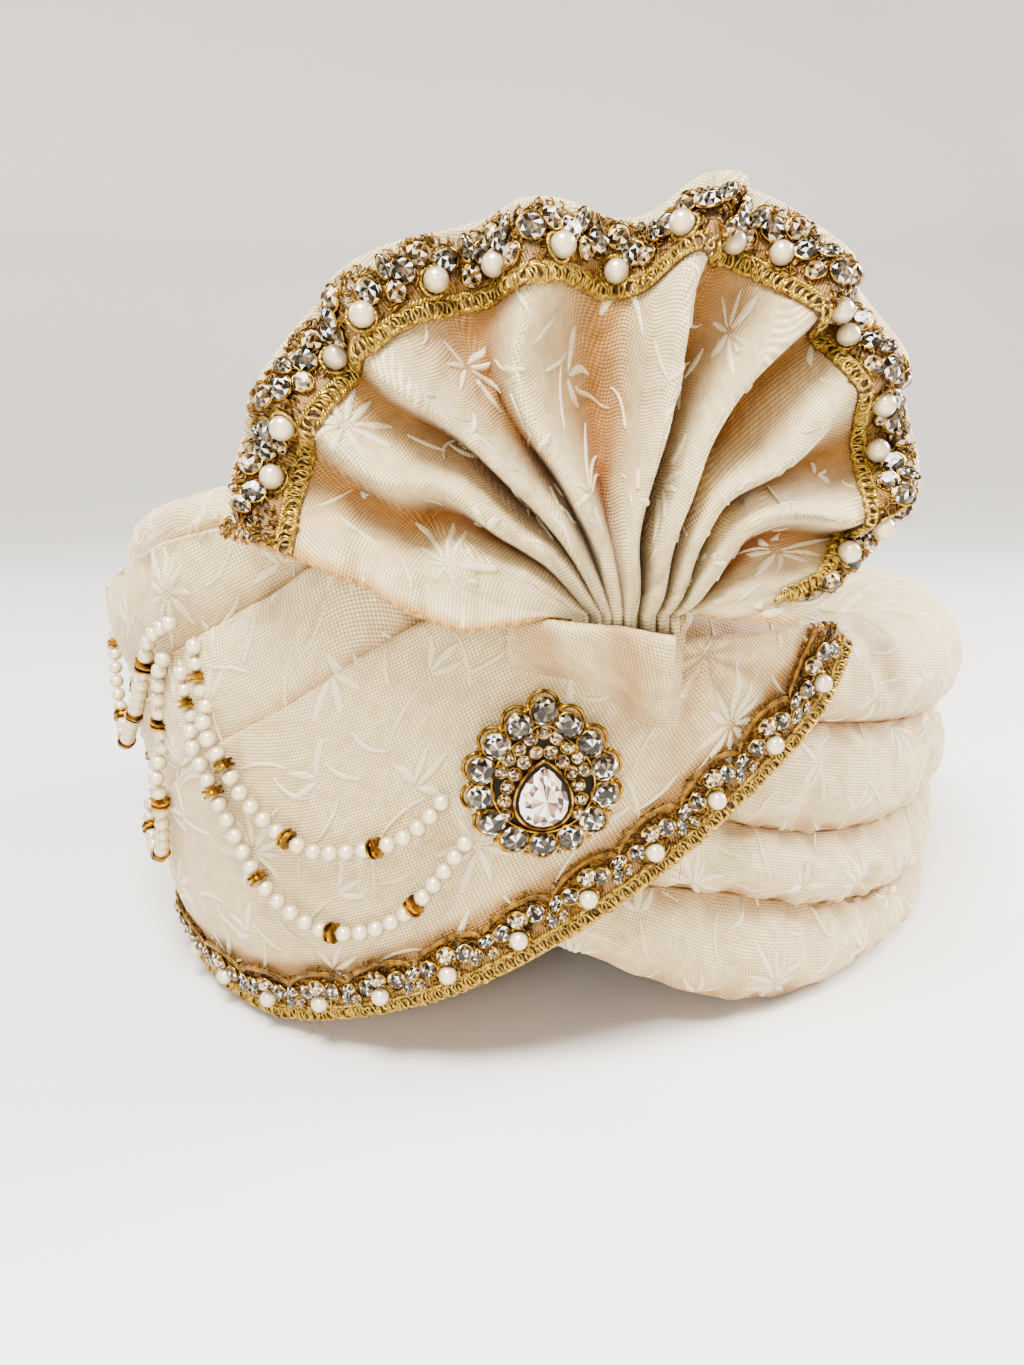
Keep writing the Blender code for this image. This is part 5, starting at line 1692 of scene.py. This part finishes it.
def make_lace_pearls(lace, name, middles, grow):
    """The pearls of the lace, each in a ring of gold thread."""
    size = bpy.context.scene.pagri.lace_pearl * grow
    points, ahead, out = lace.at(middles, PEARL_ACROSS * MM, 0.42 * size)
    pearl = pearl_unit(20, 12)
    pearls = units(f"{name}_pearls", pearl, points, ahead, out, np.full(3, size), "pearl")
    drop(pearl)
    turn = np.arange(14) * 2 * np.pi / 14
    ring_points = []
    ring_along = []
    ring_out = []
    for centre, a, o in zip(points, ahead, out):
        side = np.cross(o, a)
        for angle in turn:
            way = math.cos(angle) * a + math.sin(angle) * side
            ring_points.append(centre - o * 0.26 * size + way * 0.56 * size)
            ring_along.append(unit(-math.sin(angle) * a + math.cos(angle) * side + 0.5 * o))
            ring_out.append(o)
    grain = grain_unit()
    rings = units(f"{name}_rings", grain, np.array(ring_points), np.array(ring_along), np.array(ring_out),
                  np.array((1.7, 0.75, 0.75)) * MM, "braid")
    drop(grain)
    seat(pearls, None)
    seat(rings, None)


def make_lace_stones(lace, name, middles, width, grow, random, stones):
    """The cut stones of the lace, round and boat-shaped, each on a small gold seat."""
    seat_ring = wire("seat", round_outline(12, 1.02), 0.0, 0.07, 4)
    pieces = []
    seats = []
    for x, y, length, wide, turn, tones in stones:
        outline = round_outline(10) if length == wide else marquise_outline(12)
        stone = stone_unit(outline, 0.42, 7 + int(length * 10), tones)
        where = middles + (x + random.normal(0, 0.35, len(middles))) * MM
        across = np.clip((y + random.normal(0, 0.3, len(middles))) * MM * width / (16.6 * MM), 5 * MM,
                         width - 1.6 * MM)
        keep = (where > 2 * MM) & (where < lace.length - 2 * MM)
        points, ahead, out = lace.at(where[keep], across[keep], STONE_LIFT)
        spin = np.radians(turn + random.normal(0, 14, keep.sum()))[:, None]
        side = np.cross(out, ahead)
        way = np.cos(spin) * ahead + np.sin(spin) * side
        lean = unit(out + 0.16 * random.normal(size=out.shape))
        scale = np.array((length, wide, min(length, wide))) * grow * MM
        pieces.append(units("stones", stone, points, way, lean, scale, "crystal"))
        seats.append(units("seats", seat_ring, points + 0.25 * MM * out, way, lean, scale,
                           "metal"))
        drop(stone)
    drop(seat_ring)
    seat(join(f"{name}_stones", pieces), None)
    seat(join(f"{name}_seats", seats), None)


class PAGRI_OT_laces(bpy.types.Operator):
    """Makes the gold laces of the panel and the fan with their pearls and stones"""
    bl_idname = "pagri.laces"
    bl_label = "Laces"

    def execute(self, context):
        dress_lace(panel_lace_band(), "panel_lace", 1.0, 201, True)
        dress_lace(fan_lace_band(), "fan_lace", 1.2, 202, False)
        return {'FINISHED'}


def even_points(outline, count, start=0.5):
    """Points equally spaced round a closed outline, from a share of its length on."""
    closed = np.concatenate((outline, outline[:1]))
    length = distances(closed)
    return on_line(length[-1] * ((start + np.arange(count) / count) % 1.0), length, closed)


def brooch_outline(count, share=1.0, grow=0.0, shift=0.0):
    """Points equally spaced round the brooch's pear outline, from its tip, as right and up; shift moves
    them on by a share of their spacing."""
    turn = np.linspace(-math.pi, math.pi, 721)[:-1]
    reach = BROOCH_RADIUS - BROOCH_PEAR * np.cos(turn) + BROOCH_TIP * np.exp(-(turn / BROOCH_TIP_ANGLE) ** 2)
    points = np.stack((np.sin(turn), np.cos(turn)), -1) * (reach * share + grow)[:, None]
    return even_points(points, count, 0.5 + shift / count)


def skin_point(azimuth, height):
    """A point of the outermost cloth."""
    return place(skin_radius(azimuth, height), azimuth, height)


def brooch_frame():
    """Place and turn of the brooch: its own z points out of the panel, its y up."""
    azimuths = BROOCH_AZIMUTH + np.array((-1, 1)) * BROOCH_REACH[0]
    heights = BROOCH_HEIGHT + np.array((-1, 1)) * BROOCH_REACH[1]
    left, right = (Vector(p) for p in skin_point(azimuths, np.full(2, BROOCH_HEIGHT)))
    below, above = (Vector(p) for p in skin_point(np.full(2, BROOCH_AZIMUTH), heights))
    across = (right - left).normalized()
    outward = across.cross(above - below).normalized()
    up = outward.cross(across)
    turn = Matrix((across, up, outward)).transposed().to_4x4()
    centre = Vector(skin_point(BROOCH_AZIMUTH, BROOCH_HEIGHT).tolist()) + outward * BROOCH_STAND
    return Matrix.Translation(centre) @ turn


def wire(name, outline, level, radius, sides=6):
    """A closed wire along an outline at a level."""
    path = np.concatenate((outline, np.full((len(outline), 1), level)), 1)
    return tube_unit(name, path, radius, sides, True)


def plate(name, outline, low, high):
    """A flat plate with an outline."""
    rings = [[(x * scale, y * scale, level) for x, y in outline]
             for scale, level in ((0.97, low), (1.0, low + 0.2 * MM), (1.0, high - 0.2 * MM), (0.97, high))]
    return bm_object(name, ring_loft(rings), False)


def set_stone(outline, height, level, seed, tones="clear"):
    """A faceted stone with its outline and its girdle at a level."""
    stone = stone_unit(outline, height, seed, tones, outline.mean(0))
    stone.data.transform(Matrix.Translation((0, 0, level)))
    return stone


class PAGRI_OT_brooch(bpy.types.Operator):
    """Makes the brooch: its plate, gallery, collets, wires and stones"""
    bl_idname = "pagri.brooch"
    bl_label = "Brooch"

    def execute(self, context):
        outer = brooch_outline(OUTER_STONES)
        metal = [plate("plate", brooch_outline(64, 1.0, OUTER_STONE / 2 - 1.4 * MM), 0.0, BROOCH_PLATE)]
        stones = []
        recess = []
        for k, (x, y) in enumerate(outer):
            cup = round_outline(20, OUTER_STONE)
            rings = [[(px + x, py + y, level) for px, py in cup * scale]
                     for scale, level in ((0.80, 0.5 * MM), (0.98, 1.8 * MM), (1.0, 3.1 * MM),
                                          (0.94, 3.3 * MM), (0.86, 3.0 * MM), (0.78, 1.6 * MM))]
            metal.append(bm_object("cup", ring_loft(rings)))
            metal.append(wire("lip", cup + (x, y), 2.8 * MM, 0.13 * MM))
            metal.append(wire("gallery", cup * 1.04 + (x * 1.05, y * 1.05), 0.9 * MM, 0.45 * MM))
            gem = round_outline(12, OUTER_STONE - 0.2 * MM) + (x, y)
            stones.append(set_stone(gem, 1.6 * MM, 2.8 * MM, 300 + k))
        for x, y in brooch_outline(OUTER_STONES, 1.0, OUTER_STONE / 2 - 0.6 * MM, 0.5):
            bead = pearl_unit(8, 6)
            bead.data.transform(Matrix.Translation((x, y, 2.6 * MM)) @ Matrix.Scale(1.1 * MM, 4))
            metal.append(bead)
        middle = np.array((0.0, -CENTRE_DROP))
        pear = pear_outline(40, CENTRE_STONE_WIDTH, CENTRE_STONE_LENGTH)
        ring = pear_outline(720, CENTRE_STONE_WIDTH + 2 * INNER_REACH, CENTRE_STONE_LENGTH + 2 * INNER_REACH)
        inner = [p for p in even_points(ring + middle, INNER_STONES) if p[1] > INNER_LOWEST]
        inner += [p for p in brooch_outline(TOP_STONES, TOP_SHARE) if p[1] > TOP_LOWEST]
        for k, (x, y) in enumerate(inner):
            gem = round_outline(8, INNER_STONE - 0.1 * MM) + (x, y)
            stones.append(set_stone(gem, 1.0 * MM, 2.75 * MM, 330 + k, "amber"))
            metal.append(wire("collet", round_outline(12, INNER_STONE) + (x, y), 2.75 * MM, 0.15 * MM, 5))
        metal.append(wire("pear_wire", brooch_outline(72, 0.81), 3.2 * MM, 0.26 * MM))
        # Near-black plates of painted shade between the outer stones, under the inner ones and round the
        # centre
        recess.append(plate("shade", brooch_outline(64, 1.0, OUTER_STONE / 2 - 2.0 * MM),
                            BROOCH_PLATE - 0.1 * MM, BROOCH_PLATE + 0.4 * MM))
        recess.append(plate("deck", brooch_outline(64, 0.80), BROOCH_PLATE - 0.2 * MM, 2.5 * MM))
        rim = [[(px, py, level) for px, py in pear * scale + middle]
               for scale, level in ((1.0, 2.0 * MM), (1.03, 4.0 * MM), (1.0, 4.4 * MM), (0.95, 4.4 * MM),
                                    (0.93, 3.6 * MM))]
        metal.append(bm_object("bezel", ring_loft(rim)))
        recess.append(plate("gap", pear * 0.955 + middle, 3.4 * MM, 4.1 * MM))
        gem = pear_outline(18, CENTRE_STONE_WIDTH * 0.83, CENTRE_STONE_LENGTH * 0.85)
        stones.append(set_stone(gem + middle - (0.0, 0.3 * MM), 2.3 * MM, 3.9 * MM, 361, "centre"))
        place_in = brooch_frame()
        for name, parts, node, finish in (("brooch_metal", metal, "brooch", "metal"),
                                          ("brooch_stones", stones, None, "crystal"),
                                          ("brooch_recess", recess, None, "recess")):
            obj = join(name, parts)
            obj.data.transform(place_in)
            seat(obj, node, finish)
        return {'FINISHED'}


def string_line(route):
    """A string's own line, with how long it is up to each point, and the outward direction there."""
    azimuths, heights, clear = (column(route, ROUTE_COLUMNS, name) for name in ROUTE_COLUMNS)
    heights = heights * MM
    clear = clear * MM
    coarse = place(skin_radius(azimuths, heights) + STRING_STAND + clear, azimuths, heights)
    length = distances(coarse)
    at = np.linspace(0, length[-1], STRING_STEPS)
    azimuth = smooth(length, azimuths, at)
    height = smooth(length, heights, at)
    radius = skin_radius(azimuth, height) + STRING_STAND + smooth(length, clear, at)
    kernel = np.ones(STRING_SMOOTHING) / STRING_SMOOTHING
    padded = np.pad(radius, STRING_SMOOTHING // 2, 'edge')
    points = place(np.convolve(padded, kernel, "valid"), azimuth, height)
    return points, distances(points), unit(points * (1, 1, 0))


class PAGRI_OT_strings(bpy.types.Operator):
    """Threads the strings of pearls with their rondelles"""
    bl_idname = "pagri.strings"
    bl_label = "Strings of pearls"

    def execute(self, context):
        size = context.scene.pagri.string_pearl
        pearl = pearl_unit(16, 10)
        rondelle = rondelle_unit()
        for name, route in STRING_ROUTES.items():
            points, run, out = string_line(route)
            pearl_at = []
            rondelle_at = []
            where = 0.0
            while where + size < run[-1]:
                pearl_at.append(where + size / 2)
                where += size * PEARL_SPACING
                if len(pearl_at) % PEARLS_TO_RONDELLE == 0:
                    rondelle_at.append(where + RONDELLE_LENGTH / 2)
                    where += RONDELLE_LENGTH
            pieces = []
            for unit_object, spots, scale, finish in (
                    (pearl, pearl_at, np.full(3, size), "pearl"),
                    (rondelle, rondelle_at, np.full(3, RONDELLE_DIAMETER), "metal")):
                spots = np.array(spots)
                ahead = on_line(spots + 0.5 * MM, run, points) - on_line(spots - 0.5 * MM, run, points)
                pieces.append(units(f"{name}_beads", unit_object, on_line(spots, run, points), unit(ahead),
                                    on_line(spots, run, out), scale, finish))
            thread = tube_unit("thread", points[::12], 0.28 * MM, 5)
            thread.data.materials.append(finish_named("figure"))
            obj = join(f"{name}_pearls", pieces + [thread])
            seat(obj, name)
        drop(pearl, rondelle)
        return {'FINISHED'}


class PAGRI_OT_sheets(bpy.types.Operator):
    """Does nothing: no piece is declared a sheet of cloth here"""
    bl_idname = "pagri.sheets"
    bl_label = "Sheets of cloth"

    def execute(self, context):
        return {'FINISHED'}


class PAGRI_OT_stage(bpy.types.Operator):
    """Sets the pale floor, the soft studio light and the camera"""
    bl_idname = "pagri.stage"
    bl_label = "Stage"

    def execute(self, context):
        profile = np.array(FLOOR_PROFILE)
        turn = np.linspace(0, 2 * np.pi, 97)[:-1]
        fine = np.linspace(0, 1, 60)
        knots = np.linspace(0, 1, len(profile))
        radius, height = (smooth(knots, profile[:, k], fine) for k in (0, 1))
        points = np.stack((radius[None, 1:] * np.cos(turn)[:, None], radius[None, 1:] * np.sin(turn)[:, None],
                           np.broadcast_to(height[None, 1:], (96, 59))), -1)
        floor = skin("floor", points, None, True, False)
        bm = bmesh.new()
        bm.from_mesh(floor.data)
        bmesh.ops.holes_fill(bm, edges=[e for e in bm.edges if e.is_boundary and e.verts[0].co.z < 0.01])
        bm.to_mesh(floor.data)
        bm.free()
        finish, _, _ = new_material("white laminate sheet", {"Base Color": linear("E9E4DD"),
                                                             "Roughness": 0.55})
        floor.data.materials.append(finish)
        world = bpy.data.worlds.new("soft studio")
        context.scene.world = world
        world.use_nodes = True
        background = world.node_tree.nodes["Background"]
        background.inputs["Color"].default_value = linear("FFFEFC")
        background.inputs["Strength"].default_value = WORLD_STRENGTH
        for name, where, size, power, aim in LIGHTS:
            light = bpy.data.lights.new(name, 'AREA')
            light.shape = 'DISK'
            light.size = size
            light.energy = power
            obj = bpy.data.objects.new(name, light)
            obj.location = where
            obj.rotation_euler = (Vector(aim) - Vector(where)).to_track_quat('-Z', 'Y').to_euler()
            context.scene.collection.objects.link(obj)
        camera = bpy.data.cameras.new("camera")
        camera.sensor_fit = 'VERTICAL'
        camera.sensor_height = SENSOR
        camera.lens = LENS
        camera.clip_start = 0.01
        obj = bpy.data.objects.new("camera", camera)
        obj.location = CAMERA_PLACE
        obj.rotation_euler = (math.radians(90 - CAMERA_TILT), 0, 0)
        context.scene.collection.objects.link(obj)
        context.scene.camera = obj
        return {'FINISHED'}


OPERATORS = (PAGRI_OT_stage, PAGRI_OT_rolls, PAGRI_OT_crown, PAGRI_OT_panel, PAGRI_OT_tie, PAGRI_OT_fan,
             PAGRI_OT_laces, PAGRI_OT_brooch, PAGRI_OT_strings, PAGRI_OT_sheets)


class PAGRI_PT_sidebar(bpy.types.Panel):
    """Lists the turban's settings and the operators that make it"""
    bl_idname = "PAGRI_PT_sidebar"
    bl_label = "Tied turban"
    bl_space_type = 'VIEW_3D'
    bl_region_type = 'UI'
    bl_category = "Pagri"

    def draw(self, context):
        for name in PagriSettings.__annotations__:
            self.layout.prop(context.scene.pagri, name)
        for operator in OPERATORS:
            self.layout.operator(operator.bl_idname)


def register():
    """Registers the settings, the operators and the panel."""
    for cls in (PagriSettings, *OPERATORS, PAGRI_PT_sidebar):
        bpy.utils.register_class(cls)
    bpy.types.Scene.pagri = bpy.props.PointerProperty(type=PagriSettings)


def unregister():
    """Takes them out again."""
    del bpy.types.Scene.pagri
    for cls in reversed((PagriSettings, *OPERATORS, PAGRI_PT_sidebar)):
        bpy.utils.unregister_class(cls)


def main():
    """Runs every operator."""
    register()
    for operator in OPERATORS:
        getattr(bpy.ops.pagri, operator.bl_idname.split(".")[1])()


if __name__ == "__main__":
    main()
